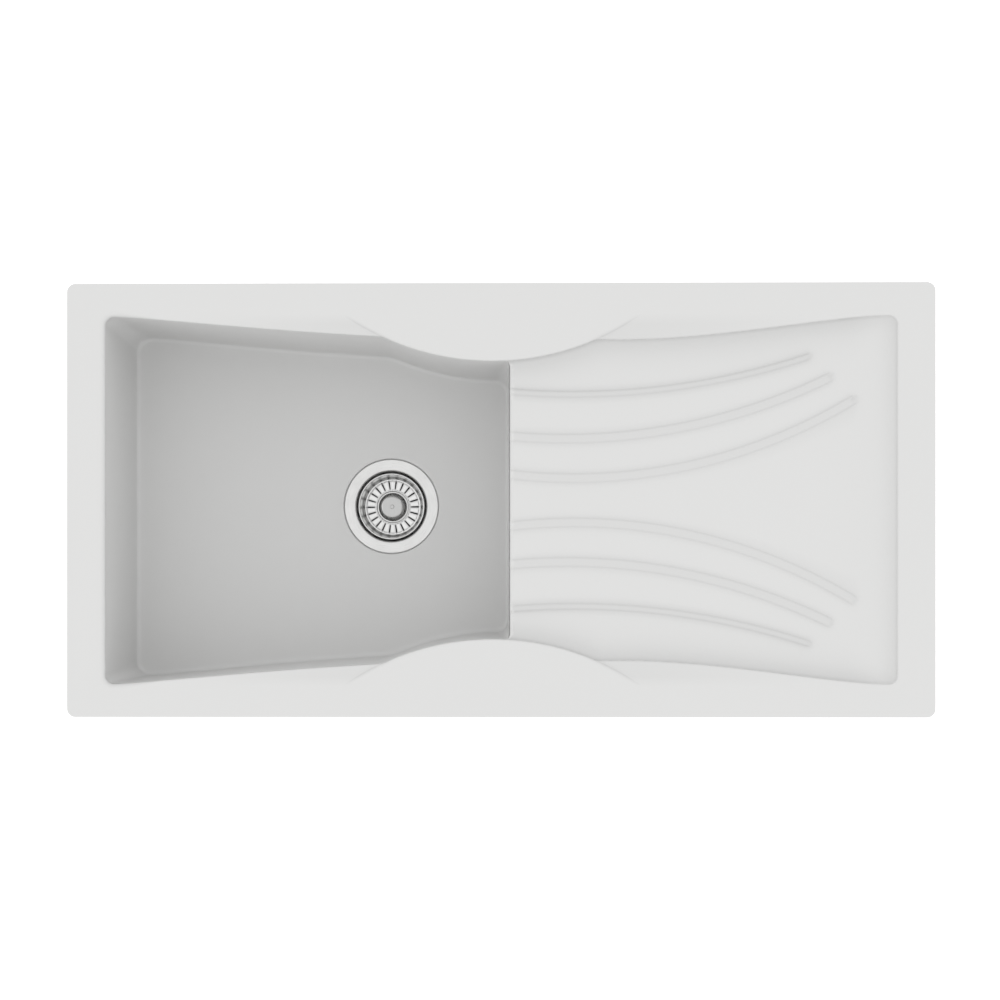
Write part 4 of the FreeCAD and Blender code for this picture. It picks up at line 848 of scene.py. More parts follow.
@dataclass(frozen=True)
class Moulding:
    """The one-piece sink: rim, tap decks, bowl, drainboard with ridges, and its underside.

    All sizes are millimetres, and z is 0 on the rim's underside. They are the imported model's, apart
    from softer or tighter roundings at the rim's edge, the opening's edge, the bowl's floor, the
    shoulder of the slopes and the ridges.
    """

    rim: tuple[float, float, float] = (1000.0, 500.0, 8.0)
    rim_corner: float = 10.0
    rim_edge: float = 1.0
    top_rows: int = 32                    # grid rows across the rim's top
    wall: float = 8.0
    end: float = 456.0                    # half the opening's length
    half: float = 211.5                   # half the opening's width at its corners
    corner: float = 10.0
    lens: tuple[float, float] = (-9.2, 460.0)
    lens_r: float = 300.0
    blend: float = 30.0
    bowl_wave: Wave = Wave(-1, 188.3, 0.0515, 142.6, 30.2)
    board_wave: Wave = Wave(1, 185.2, -0.0362, 124.1, 68.7)
    mouth_z: float = 5.0
    edge_r: float = 2.5
    soft_edge_r: float = 7.0              # the same at the bowl's left end
    soft_edge: tuple[float, float] = (385.0, 60.0)   # where that starts, and over what length
    shoulder: float = 215.0
    shoulder_fall: float = math.tan(math.radians(4.0))
    seal_groove: tuple[float, float, float] = (3.5, 8.5, 2.0)   # from the rim's edge, and depth
    floor_z: float = -187.0
    floor_fall: tuple[float, float, float] = (122.0, 64.0, 2.0)   # outer radius, width, depth
    draft: float = math.tan(math.radians(2.0))
    floor_r: float = 6.0
    floor_corner: float = 18.0
    floor_blend: float = 70.0
    lip_x: float = 10.5
    lip_r: float = 5.0
    lip_edge: float = 4.0
    lip_ease: float = 10.0                # its rounding grows over this depth
    board_z: tuple[float, float] = (-3.0, -1.0)
    skirt: tuple[float, ...] = (0.0, 0.6, 1.3, 2.2, 3.4, 5.0, 7.2, 10.0, 13.5, 18.0)
    skirt_power: float = 4.6
    bowl_steps: tuple[int, ...] = (8, 8, 44, 12, 30)     # end, corner, wave, blend, tap deck
    board_steps: tuple[int, ...] = (40, 12, 84, 8)       # tap deck, blend, wave, corner
    ridge_height: float = 2.1
    flank: float = 3.6
    ridges: tuple[Ridge, ...] = (
        Ridge(870.0, 85.0, 122.2, 353.0, 3.0, 0.08, 0.055),
        Ridge(690.0, 76.0, 71.0, 377.0, 6.4, 0.06, 0.05),
        Ridge(620.0, 85.0, 25.5, 404.0, 6.4, 0.055, 0.045))
    row_fills: tuple[int, ...] = (6, 5, 5, 4)            # lines between the edge, ridges and middle
    end_zone: tuple[float, float] = (60.0, 50.0)     # where the right end starts, over what length
    border_painted_shade: tuple[float, float] = (0.14, 16.0)      # painted shade, and how far in it reaches
    border_shade_line: tuple[float, float] = (0.03, 2.5)
    ridge_shade_reach: tuple[float, float] = (7.0, 1.5)        # reach of the broad and the narrow painted shade
    drain: tuple[float, float] = (-140.0, 0.0)
    drain_r: float = 45.0
    drain_pad_r: float = 66.0
    recess: tuple[float, float] = (58.0, 2.5)
    wall_rows: tuple[float, ...] = (0.0, 0.02, 0.0536, 0.1, 0.15, 0.2, 0.25, 0.3, 0.363, 0.5, 0.65,
                                    0.8, 1.0)            # shares of the way down the bowl's wall
    shell_rows: tuple[float, ...] = (0.0, 0.04, 0.08, 0.13, 0.18, 0.23, 0.28, 0.33, 0.5, 0.75, 1.0)
    overflow_rows: tuple[int, int] = (2, 8)              # the wall's rows round the overflow
    window: float = 27.0                                 # half the width of a hole's window
    overflow_z: float = -42.0
    overflow_seat_x: float = 14.36
    overflow_r: tuple[float, float, float] = (14.0, 18.5, 23.0)   # bore, seat, pad behind the wall
    tap_y: float = 205.0
    tap_hole: tuple[float, float] = (17.5, 5.0)          # radius and depth
    rail: tuple[float, float, float] = (976.0, 476.0, 12.0)       # length, width, corner radius
    rail_size: tuple[float, float] = (5.0, 12.0)         # thickness and height
    boss: tuple[float, float, float] = (8.0, 4.0, 16.0)  # radius, hole's radius, height
    long_boss: tuple[float, float] = (250.0, 226.0)      # place of a boss on a long side
    short_boss: tuple[float, float] = (476.0, 120.0)     # place of a boss on a short side
    bar: tuple[float, float] = (5.0, 12.0)               # a stiffener's thickness and height
    long_bars: tuple[float, ...] = (-70.0, 70.0)         # y of those along the drainboard
    cross_bars: tuple[float, ...] = (130.0, 240.0, 350.0)     # x of those across it
    bar_reach: float = 150.0                             # how far these stand out to each side

    # -- the outline
    def wave_side(self, wave: Wave, inset: float, corner_r: float, blend_r: float) -> dict:
        """The three curves from a tap deck's arc to an end of the opening.

        A blend arc leaves the deck's arc, a cubic Bezier curve is the wave, and an arc is the
        corner.

        Args:
            wave: which wave.
            inset: how far inside the opening's outline.
            corner_r: radius of the corner.
            blend_r: radius of the blend.

        Returns:
            The curves as functions of a share, under blend, wave and corner, and the points on_lens
            and corner_end.
        """
        lens = np.array(self.lens)
        lens_r = self.lens_r + inset
        half = wave.half - inset
        meet_x = lens[0] + wave.side * math.sqrt(lens_r ** 2 - (lens[1] - half) ** 2)
        meet = np.array([meet_x, half])
        along = unit(np.array([wave.side, wave.slope]))
        inward = unit(np.array([wave.side * wave.slope, -1.0]))
        reach = meet + inward * blend_r - lens
        drift = float(reach @ along)
        shift = -drift + math.sqrt(drift ** 2 - float(reach @ reach) + (lens_r + blend_r) ** 2)
        centre = meet + inward * blend_r + along * shift
        on_lens = lens + unit(centre - lens) * lens_r
        on_wave = meet + along * shift
        tip = np.array([wave.side * (self.end - inset), self.half - inset])
        wave_end = tip - np.array([wave.side * corner_r, 0.0])
        corner_end = tip - np.array([0.0, corner_r])
        middle = np.array([wave_end[0], corner_end[1]])
        poles = (on_wave, meet + along * wave.pull,
                 wave_end - np.array([wave.side * wave.corner_pull, 0.0]), wave_end)

        def bezier(shares: Array) -> Array:
            """The wave's points (1-t)^3 A + 3t(1-t)^2 B + 3t^2(1-t) C + t^3 D."""
            t = shares[:, None]
            return ((1 - t) ** 3 * poles[0] + 3 * t * (1 - t) ** 2 * poles[1]
                    + 3 * t * t * (1 - t) * poles[2] + t ** 3 * poles[3])

        return {"on_lens": on_lens, "wave": bezier,
                "blend": lambda t: arc_line(centre, on_lens, on_wave, t),
                "corner": lambda t: arc_line(middle, wave_end, corner_end, t),
                "corner_end": corner_end}

    def lip_corner(self, inset: float, lip_r: float) -> tuple[Array, Array, Array]:
        """The small arc between a tap deck and the lip: its centre, start and end."""
        lens = np.array(self.lens)
        reach = self.lens_r + inset + lip_r
        x = self.lip_x - inset - lip_r
        centre = np.array([x, lens[1] - math.sqrt(reach ** 2 - (x - lens[0]) ** 2)])
        start = lens + unit(centre - lens) * (self.lens_r + inset)
        return centre, start, np.array([self.lip_x - inset, centre[1]])

    def bowl_side(self, inset: float, corner_r: float, blend_r: float, lip_r: float) -> Array:
        """The bowl's rear outline from the middle of its left end to the start of the lip."""
        on_end, on_corner, on_wave, on_blend, on_deck = self.bowl_steps
        side = self.wave_side(self.bowl_wave, inset, corner_r, blend_r)
        _centre, lip_start, _end = self.lip_corner(inset, lip_r)
        up = np.linspace(0.0, 1.0, on_end + 1)[:, None]
        end_line = np.array([side["corner_end"][0], 0.0]) * (1 - up) + side["corner_end"] * up
        wave = side["wave"](np.linspace(1.0, 0.0, on_wave + 1) ** 1.4)
        deck = np.linspace(0, 1, on_deck + 1)
        return np.concatenate([
            end_line[:-1], side["corner"](np.linspace(1, 0, on_corner + 1))[:-1], wave[:-1],
            side["blend"](np.linspace(1, 0, on_blend + 1))[:-1],
            arc_line(np.array(self.lens), side["on_lens"], lip_start, deck)])

    def board_side(self, inset: float, start: Array) -> Array:
        """The drainboard's rear outline from a point on the deck's arc to its end's middle."""
        on_deck, on_blend, on_wave, on_corner = self.board_steps
        side = self.wave_side(self.board_wave, inset, self.corner - 0.3 * inset, self.blend)
        deck = arc_line(np.array(self.lens), start, side["on_lens"],
                        np.linspace(0, 1, on_deck + 1))
        end_inset = self.skirt[-1] + 1.0
        levels = self.row_levels(np.array([self.end - end_inset]),
                                 np.array([self.half - end_inset]))[:, 0]
        half_corner = on_corner // 2
        down = (levels[half_corner:] / levels[half_corner])[:, None]
        end_line = np.concatenate([np.full_like(down, side["corner_end"][0]),
                                   down * side["corner_end"][1]], axis=1)
        return np.concatenate([
            deck[:-1], side["blend"](np.linspace(0, 1, on_blend + 1))[:-1],
            side["wave"](np.linspace(0, 1, on_wave + 1) ** 1.25)[:-1],
            side["corner"](np.linspace(0, 1, on_corner + 1))[:-1], end_line])

    def lines(self) -> Lines:
        """Work out the plan lines that the surfaces share.

        Returns:
            The lines.
        """
        # the lip's rear end: the wall's line under it, and the line where the drainboard starts
        centre, lip_start, lip_end = self.lip_corner(0.0, self.lip_r)
        depth = np.array(self.skirt)
        whole = math.acos(float(unit(lip_start - centre) @ unit(lip_end - centre)))
        turn = np.minimum(np.arccos(np.clip(1 - depth / self.lip_r, -1.0, 1.0)) / whole, 1.0)
        wall = arc_line(centre, lip_start, lip_end, turn)
        normal = unit(wall - centre)
        straight = depth > self.lip_r
        wall[straight] = np.stack([np.full(straight.sum(), self.lip_x),
                                   centre[1] + self.lip_r - depth[straight]], axis=-1)
        normal[straight] = (1.0, 0.0)
        reach = self.lip_edge * ease(depth / self.lip_ease)
        lip_line = wall + normal * reach[:, None]

        # the drainboard's rear half: rows of its border, and the grid of its floor
        border = np.stack([self.board_side(d, lip_line[k] if k else lip_start)
                           for k, d in enumerate(self.skirt)])
        border[:, 0] = lip_line
        cut = sum(self.board_steps[:3]) + self.board_steps[3] // 2
        edge = border[-1]
        x = edge[:cut + 1, 0]
        levels = self.row_levels(x, edge[:cut + 1, 1])
        inner = np.stack([np.broadcast_to(x, levels.shape), levels], axis=-1)
        inner[:, -1] = edge[cut:]

        # the whole opening: bowl, then drainboard, rear then front
        bowl_rear = self.bowl_side(0.0, self.corner, self.blend, self.lip_r)
        mouth = closed_loop(bowl_rear, border[0])
        outward = loop_normals(mouth)
        soft_from, soft_over = self.soft_edge
        soft = ease((-mouth[:, 0] - soft_from) / soft_over)
        edge_r = self.edge_r + (self.soft_edge_r - self.edge_r) * soft
        start = mouth + outward * edge_r[:, None]

        further = len(inner) - 1
        return Lines(
            lip_line=lip_line,
            lip_wall=np.concatenate([wall, np.stack([np.full(further, self.lip_x),
                                                     inner[1:, 0, 1]], axis=-1)]),
            lip_out=np.concatenate([normal, np.tile([1.0, 0.0], (further, 1))]),
            lip_reach=np.concatenate([reach, np.full(further, self.lip_edge)]),
            border=border, inner=inner, bowl_rear=bowl_rear, mouth=mouth, outward=outward,
            edge_r=edge_r, wall_top=self.rim_height(start[:, 0], start[:, 1]) - edge_r)

    # -- heights and tones
    def rim_height(self, x: Array, y: Array) -> Array:
        """Height of the rim's top.

        It is flat, apart from a slope of 4 degrees beside each wave. The slope starts at the line
        y = shoulder, softened as (t + sqrt(t^2 + 4)) / 2, and ends at the tap deck's circle in a
        small rounded step.
        """
        inside = self.shoulder - np.abs(y)
        depth = (inside + np.sqrt(inside ** 2 + 4.0)) / 2 * self.shoulder_fall
        past = np.hypot(x - self.lens[0], np.abs(y) - self.lens[1]) - self.lens_r
        fade = ease((self.end - 4.0 - np.abs(x)) / 12.0)
        return self.rim[2] - depth * fade * ease((past + 0.4) / 2.0)

    def board_floor(self, x: Array) -> Array:
        """Height of the drainboard's plane, which falls towards the bowl."""
        low, high = self.board_z
        return low + (high - low) * (x - self.lip_x) / (self.end - self.lip_x)

    def row_levels(self, x: Array, edge: Array) -> Array:
        """The y of each grid line across the rear half of the drainboard, at each x.

        Lines run close together over the ridges' flanks and are spread evenly between them.

        Args:
            x: the places along the drainboard.
            edge: the y of the outermost line at each x.

        Returns:
            The (lines, n) levels, from the edge to the middle line.
        """
        lines = [edge]
        for ridge, fill in zip(self.ridges, self.row_fills):
            centre, widen = ridge.line(x, self.flank)
            steps = ridge.width / 2 + self.flank * np.array([1.0, 0.8, 0.6, 0.4, 0.2, 0.0])
            offsets = np.concatenate([steps, [0.0], -steps[::-1]])
            top = centre + offsets[0] * widen
            for i in range(1, fill + 1):
                lines.append(lines[-1] + (top - lines[-1]) / (fill + 2 - i))
            lines.extend(centre + offset * widen for offset in offsets)
        last, fill = lines[-1], self.row_fills[-1]
        lines.extend(last * (1 - i / (fill + 1)) for i in range(1, fill + 1))
        lines.append(np.zeros_like(x))
        return np.stack(lines)

    def ridge_rise(self, x: Array, y: Array) -> Array:
        """How far the ridges stand above the drainboard's plane.

        A ridge is a path of constant width with a round end. Its flanks are smooth steps of the
        distance to the path's middle.
        """
        rise = np.zeros_like(x)
        for ridge in self.ridges:
            step = ease(1 - (ridge.distance(x, y) - ridge.width / 2) / self.flank)
            rise = np.maximum(rise, self.ridge_height * step)
        return rise

    def board_painted_shade(self, x: Array, y: Array, depth: Array) -> Array:
        """How much painted shade darkens the drainboard: along its border, and on the ridges' flanks.

        From the border it fades as exp(-depth / reach), at the right end faster. Beside a ridge it
        is a broad bell exp(-(s / reach)^2) of the distance s, with a narrow one over the flank.

        Args:
            x: plan places along the sink.
            y: plan places across the sink.
            depth: how far they lie inside the drainboard's outline.

        Returns:
            The share, from 0 to 1.
        """
        zone, over = self.end_zone
        at_end = ease((x - self.end + zone) / over)
        tone, reach = self.border_painted_shade
        shade = tone * (1 - 0.5 * at_end) * np.exp(-depth / (reach - 9.0 * at_end))
        tone, reach = self.border_shade_line
        shade = shade + tone * (1 - at_end) * np.exp(-(depth / reach) ** 2)
        broad, narrow = self.ridge_shade_reach
        for ridge in self.ridges:
            s = ridge.distance(x, y)
            flank = ridge.width / 2 + 0.55 * self.flank
            shade = shade + ridge.broad * np.exp(-(s / broad) ** 2)
            shade = shade + ridge.narrow * np.exp(-((s - flank) / narrow) ** 2)
        return shade

    # -- the surfaces
    def build(self) -> bpy.types.Object:
        """Build the moulding and put it into the scene.

        Returns:
            The new object.
        """
        skin = Skin()
        lines = self.lines()
        self.add_rim(skin, lines)
        lip_z, floor = self.add_board(skin, lines)
        self.add_lip(skin, lines, lip_z)
        wall = self.bowl_wall(lines)
        self.add_bowl(skin, lines, wall, lip_z)
        self.add_bowl_underside(skin, lines, wall)
        self.add_board_underside(skin, lines, floor)
        self.add_rail(skin)
        self.add_bosses(skin)
        self.add_stiffeners(skin)
        return skin.piece("moulding", Body.ROOT, 38.0)

    def rim_rays(self, mouth: Array) -> tuple[Array, Array]:
        """For each point of the opening's loop, its point on the rim's outside.

        The point that lies an inset inside the rim's edge is anchor + (rim_corner - inset) heading.
        Points on the straight sides are spread in proportion, and those on a corner fan out.

        Args:
            mouth: the opening's loop.

        Returns:
            The anchors and the unit headings.
        """
        sign = np.sign(mouth)
        flat_x, flat_y = self.end - self.corner, self.half - self.corner
        far_x = self.rim[0] / 2 - self.rim_corner
        far_y = self.rim[1] / 2 - self.rim_corner
        past = np.maximum(np.abs(mouth) - np.array([flat_x, flat_y]), 0.0)
        on_side = np.abs(mouth[:, 0]) <= flat_x + 1e-6
        on_end = ~on_side & (np.abs(mouth[:, 1]) <= flat_y + 1e-6)
        anchor = sign * np.array([far_x, far_y])
        anchor[on_side, 0] = mouth[on_side, 0] * far_x / flat_x
        anchor[on_end, 1] = mouth[on_end, 1] * far_y / flat_y
        heading = unit(past * sign)
        heading[on_side] = np.stack([np.zeros(on_side.sum()), sign[on_side, 1]], axis=-1)
        heading[on_end] = np.stack([sign[on_end, 0], np.zeros(on_end.sum())], axis=-1)
        return anchor, heading

    def add_rim(self, skin: Skin, lines: Lines) -> None:
        """Add the opening's edge, the rim's top, its outside and its underside.

        Args:
            skin: where the surfaces go.
            lines: the plan lines.
        """
        mouth, outward, edge_r = lines.mouth, lines.outward, lines.edge_r
        anchor, heading = self.rim_rays(mouth)

        def outer(inset: float, z: float) -> Array:
            """The rim's outside, moved in by an inset, at a height."""
            flat = anchor + (self.rim_corner - inset) * heading
            return np.column_stack([flat, np.full(len(flat), z)])

        def opening(offset: Array | float, z: Array | float) -> Array:
            """The opening's loop, moved out by an offset, at a height."""
            flat = mouth + outward * np.broadcast_to(offset, len(mouth))[:, None]
            return np.column_stack([flat, np.broadcast_to(z, len(mouth))])

        rows = [opening(edge_r * (1 - math.cos(angle)), lines.wall_top + edge_r * math.sin(angle))
                for angle in np.linspace(0.0, QUARTER, 7)[:-1]]
        start = mouth + outward * edge_r[:, None]
        target = outer(self.rim_edge, 0.0)[:, :2]
        for share in np.linspace(0.0, 1.0, self.top_rows) ** 1.1:
            flat = start + (target - start) * share
            rows.append(np.column_stack([flat, self.rim_height(flat[:, 0], flat[:, 1])]))
        rows.extend(outer(self.rim_edge * (1 - math.sin(angle)),
                          self.rim[2] - self.rim_edge * (1 - math.cos(angle)))
                    for angle in np.linspace(0.0, QUARTER, 7)[1:])
        near, far, deep = self.seal_groove
        bevel = 0.1
        rows.extend(outer(inset, z) for inset, z in (
            (0.0, 0.5), (0.15, 0.15), (0.5, 0.0), (near, 0.0), (near + bevel, bevel),
            (near + bevel, deep - bevel), (near + 2 * bevel, deep), (far - 2 * bevel, deep),
            (far - bevel, deep - bevel), (far - bevel, bevel), (far, 0.0)))
        skin.rows(rows, True, ABOVE)
        ledge = outer(far, 0.0)
        brim = opening(self.wall, 0.0)
        self.add_tap_holes(skin, [ledge + (brim - ledge) * share
                                  for share in np.linspace(0.0, 1.0, 15)])

    def add_tap_holes(self, skin: Skin, rows: list[Array]) -> None:
        """Add the rim's underside with the two blind tap holes.

        The faces in a window round each hole are left out. A ring of faces then runs from the
        window's border to the hole's circle, up its wall and over its flat end.

        Args:
            skin: where the surface goes.
            rows: the underside's rows.
        """
        grid = np.stack(rows)
        keep = np.ones((len(rows) - 1) * grid.shape[1], bool)
        hole_r, deep = self.tap_hole
        profile = ((hole_r + 0.8, 0.0), (hole_r + 0.1, 0.1), (hole_r, 0.3), (hole_r, deep - 0.4),
                   (hole_r - 0.3, deep - 0.1), (hole_r - 0.9, deep), (8.0, deep), (0.01, deep))
        for side in (1.0, -1.0):
            hole = np.array([self.lens[0], side * self.tap_y])
            halfway = grid[0, :, 0] * 0.92      # the outer row is about this much wider
            near = np.abs(halfway - hole[0]) < self.window
            columns = np.flatnonzero(near & (grid[0, :, 1] * side > 0))
            c0, c1 = int(columns[0]), int(columns[-1])
            levels = grid[:, (c0 + c1) // 2, 1] * side
            inside = np.flatnonzero(np.abs(levels - self.tap_y) < self.window + 3.0)
            stay, border = cut_window(grid, (int(inside[0]), int(inside[-1])), (c0, c1))
            keep &= stay
            rays = unit(border[:, :2] - hole)
            skin.rows([border, *ring_rows(hole, rays, profile)], True, BELOW)
        skin.rows(rows, True, BELOW, keep)

    def add_board(self, skin: Skin, lines: Lines) -> tuple[Array, Array]:
        """Add the drainboard's border and floor.

        The border falls from the opening's edge to the floor as (1 - d / D)^p, with d the distance
        inside the outline, D the border's width and p the skirt_power.

        Args:
            skin: where the surfaces go.
            lines: the plan lines.

        Returns:
            The heights along the lip's rear half, and the floor's rear half as a grid.
        """
        border, inner = lines.border, lines.inner
        depth = np.broadcast_to(np.array(self.skirt)[:, None], border.shape[:2])
        inside = depth.copy()
        from_lens = np.linalg.norm(lines.lip_line - np.array(self.lens), axis=1)
        inside[:, 0] = np.clip(from_lens - self.lens_r, 0.0, None)
        level = self.board_floor(border[..., 0])
        share = np.clip(1 - inside / self.skirt[-1], 0.0, 1.0) ** self.skirt_power
        lift = lines.wall_top[lines.board]
        height = level + (lift - level) * share + self.ridge_rise(border[..., 0], border[..., 1])
        skirt = np.concatenate([border, height[..., None]], axis=-1)
        # painted shade along the border and beside the ridges
        grey = self.board_painted_shade(border[..., 0], border[..., 1], depth)
        for side in (skirt, skirt * FLIP):
            skin.rows(list(side), False, ABOVE, shade=grey)
        floor_z = self.board_floor(inner[..., 0]) + self.ridge_rise(inner[..., 0], inner[..., 1])
        floor = np.concatenate([inner, floor_z[..., None]], axis=-1)
        # painted shade of the floor, by its distance in from the border and the right end
        from_edge = np.minimum(self.skirt[-1] + inner[0, :, 1] - inner[..., 1],
                               self.end - inner[..., 0])
        grey = self.board_painted_shade(inner[..., 0], inner[..., 1], from_edge)
        skin.rows(list(floor) + list(floor[-2::-1] * FLIP), False, ABOVE,
                  shade=np.concatenate([grey, grey[-2::-1]]))
        return np.concatenate([skirt[:, 0, 2], floor[1:, 0, 2]]), floor

    def add_lip(self, skin: Skin, lines: Lines, lip_z: Array) -> None:
        """Add the rounding from the drainboard over into the bowl.

        Args:
            skin: where the surface goes.
            lines: the plan lines.
            lip_z: the heights along the lip's rear half.
        """
        strip = []
        for angle in np.linspace(0.0, QUARTER, 6):
            back = (lines.lip_reach * (1 - math.sin(angle)))[:, None]
            rear = np.column_stack([lines.lip_wall + lines.lip_out * back,
                                    lip_z - lines.lip_reach * (1 - math.cos(angle))])
            strip.append(np.concatenate([rear, rear[-2::-1] * FLIP]))
        skin.rows(strip, False, (-300.0, 0.0, 300.0))

    def bowl_wall(self, lines: Lines) -> BowlWall:
        """The bowl's wall, from the opening's outline and the lip to the outline at its floor.

        Args:
            lines: the plan lines.

        Returns:
            The ruled wall.
        """
        drawn = (self.mouth_z - self.floor_z) * self.draft
        low_rear = self.bowl_side(drawn, self.floor_corner, self.floor_blend, self.floor_corner)
        centre, start, end = self.lip_corner(drawn, self.floor_corner)
        inner_y = lines.inner[:, 0, 1]
        turned = arc_line(centre, start, end, np.linspace(0, 1, len(self.skirt)))
        straight = np.stack([np.full(len(inner_y) - 1, end[0]),
                             end[1] * inner_y[1:] / inner_y[0]], axis=-1)
        low = closed_loop(low_rear, np.concatenate([turned, straight]))
        return BowlWall(closed_loop(lines.bowl_rear, lines.lip_wall), low, self.mouth_z,
                        self.floor_z)

    @property
    def drain_seat_z(self) -> float:
        """Height of the recess that the waste's flange lies in."""
        return self.floor_z - self.floor_fall[2] - self.recess[1]

    def add_bowl(self, skin: Skin, lines: Lines, wall: BowlWall, lip_z: Array) -> None:
        """Add the bowl's wall with the overflow's window, and its floor down to the drain.

        Args:
            skin: where the surfaces go.
            lines: the plan lines.
            wall: the bowl's wall.
            lip_z: the heights along the lip's rear half.
        """
        top_z = closed_loop(lines.wall_top[:len(lines.bowl_rear)], lip_z - lines.lip_reach)
        foot = self.floor_z + self.floor_r
        inside = [wall.row(top_z + (foot - top_z) * share, 0.0) for share in self.wall_rows]
        keep = self.add_overflow(skin, inside, len(lines.bowl_rear) + len(self.skirt) - 2)
        skin.rows(inside, True, (-220.0, 0.0, 100.0), keep)
        rows = wall.fillet(self.floor_z, self.floor_r, 0.0, 8)
        rim = rows[-1][:, :2]
        drain = np.array(self.drain)
        rays = unit(rim - drain)
        recess_r, _depth = self.recess
        hole = drain + rays * (recess_r + 0.6)
        fall_r, fall_width, fall = self.floor_fall
        for share in np.linspace(0.0, 1.0, 26)[1:]:
            flat = rim + (hole - rim) * share
            r = np.linalg.norm(flat - drain, axis=1)
            z = self.floor_z - fall * ease((fall_r - r) / fall_width)
            rows.append(np.column_stack([flat, z]))
        low, seat = self.floor_z - fall, self.drain_seat_z
        rows.extend(ring_rows(drain, rays, (
            (recess_r + 0.15, low - 0.15), (recess_r, low - 0.6), (recess_r, seat),
            (self.drain_r + 0.3, seat), (self.drain_r, seat - 0.3),
            (self.drain_r, seat - self.wall))))
        skin.rows(rows, True, (self.drain[0], 0.0, 100.0))

    def add_overflow(self, skin: Skin, rows: list[Array], first: int) -> Array:
        """Open a window in the bowl's wall for the overflow and line its round seat and bore.

        Args:
            skin: where the lining goes.
            rows: the wall's rows.
            first: the column where the straight lip starts.

        Returns:
            The mask of the wall's faces that stay.
        """
        grid = np.stack(rows)
        columns = np.flatnonzero((np.abs(grid[0, :, 1]) < self.window) & (grid[0, :, 0] > 0)
                                 & (np.arange(grid.shape[1]) >= first))
        keep, border = cut_window(grid, self.overflow_rows, (int(columns[0]), int(columns[-1])))
        axis = np.array([0.0, self.overflow_z])
        rays = unit(border[:, 1:] - axis)
        bore_r, seat_r, pad_r = self.overflow_r
        seat, back = self.overflow_seat_x, self.overflow_seat_x + self.wall
        ring = [border]
        for r, behind in ((seat_r + 1.1, 0.0), (seat_r + 0.4, 0.0), (seat_r, 0.4)):
            flat = axis + rays * r
            x = self.lip_x - (self.mouth_z - flat[:, 1]) * self.draft + behind
            ring.append(np.column_stack([x, flat]))
        for r, x in ((seat_r, seat), (bore_r + 0.3, seat), (bore_r, seat + 0.3), (bore_r, back),
                     (pad_r - 0.3, back), (pad_r, back - 0.3), (pad_r, seat + 1.0)):
            flat = axis + rays * r
            ring.append(np.column_stack([np.full(len(flat), x), flat]))
        skin.rows(ring, True, (-300.0, 0.0, self.overflow_z))
        return keep

    def add_bowl_underside(self, skin: Skin, lines: Lines, wall: BowlWall) -> None:
        """Add the bowl's outside and its base with the pad round the drain.

        Args:
            skin: where the surfaces go.
            lines: the plan lines.
            wall: the bowl's wall.
        """
        place = np.arange(len(wall.top))
        rear = len(lines.bowl_rear)
        beside_board = (place >= rear) & (place <= len(wall.top) - rear)
        start_z = np.where(beside_board, self.board_z[0] - 3.0, 0.0)
        deep = self.floor_z - self.wall
        shell = [wall.row(start_z + (deep + self.floor_r - start_z) * share, self.wall)
                 for share in self.shell_rows]
        faces = grid_faces(len(shell), len(wall.top), True)
        middle = np.concatenate(shell)[faces].mean(axis=1)
        off_axis = np.hypot(middle[:, 1], middle[:, 2] - self.overflow_z)
        skin.rows(shell, True, FAR_BELOW, ~((off_axis < 19.0) & (middle[:, 0] > 0)))
        rows = wall.fillet(deep, self.floor_r, self.wall, 6)
        drain = np.array(self.drain)
        pad_r, pad_z = self.drain_pad_r, self.drain_seat_z - self.wall
        rows.extend(ring_rows(drain, unit(rows[-1][:, :2] - drain), (
            (pad_r + 0.4, deep), (pad_r, deep - 0.4), (pad_r, pad_z + 0.6), (pad_r - 0.6, pad_z),
            (self.drain_r, pad_z))))
        skin.rows(rows, True, BELOW)

    def add_board_underside(self, skin: Skin, lines: Lines, floor: Array) -> None:
        """Add the drainboard's outer sides and its underside, one wall below the floor.

        Args:
            skin: where the surfaces go.
            lines: the plan lines.
            floor: the floor's rear half as a grid.
        """
        border = lines.border
        outward = lines.outward[lines.board]
        deep_z = self.board_floor(border[0, :, 0]) - self.wall
        sides = [np.column_stack([border[0] + outward * offset, z]) for offset, z in (
            (self.wall, np.zeros_like(deep_z)), (self.wall, deep_z + 2.0),
            (self.wall - 0.6, deep_z + 0.6), (self.wall - 2.0, deep_z))]
        inmost = self.board_floor(border[-1, :, 0]) - self.wall
        sides.append(np.column_stack([border[-1], inmost]))
        for turned in (1.0, FLIP):
            skin.rows([row * turned for row in sides], False, (900.0, 0.0, -4000.0))
        coarse = np.concatenate([floor[::6, ::4], floor[::6, -1:]], axis=1)
        coarse[..., 2] = self.board_floor(coarse[..., 0]) - self.wall
        skin.rows(list(coarse) + list(coarse[-2::-1] * FLIP), False, BELOW)

    def add_rail(self, skin: Skin) -> None:
        """Add the rail under the rim that fits the worktop's cut-out."""
        length, width, corner = self.rail
        thick, high = self.rail_size
        turn = np.linspace(0.0, QUARTER, 7)
        signs = ((1, 1), (-1, 1), (-1, -1), (1, -1))

        def loop(inset: float, z: float) -> Array:
            """The rail's rounded rectangle, moved in by an inset, at a height."""
            r = corner - inset
            return np.concatenate([np.column_stack([
                sx * (length / 2 - corner) + r * np.cos(turn + i * QUARTER),
                sy * (width / 2 - corner) + r * np.sin(turn + i * QUARTER),
                np.full(len(turn), z)]) for i, (sx, sy) in enumerate(signs)])

        section = ((0.0, 0.4), (0.0, 0.6 - high), (0.2, 0.2 - high), (0.6, -high),
                   (thick - 0.6, -high), (thick - 0.2, 0.2 - high), (thick, 0.6 - high),
                   (thick, 0.4))
        for part in (section[:5], section[4:]):
            skin.rows([loop(inset, z) for inset, z in part], True, FAR_BELOW)

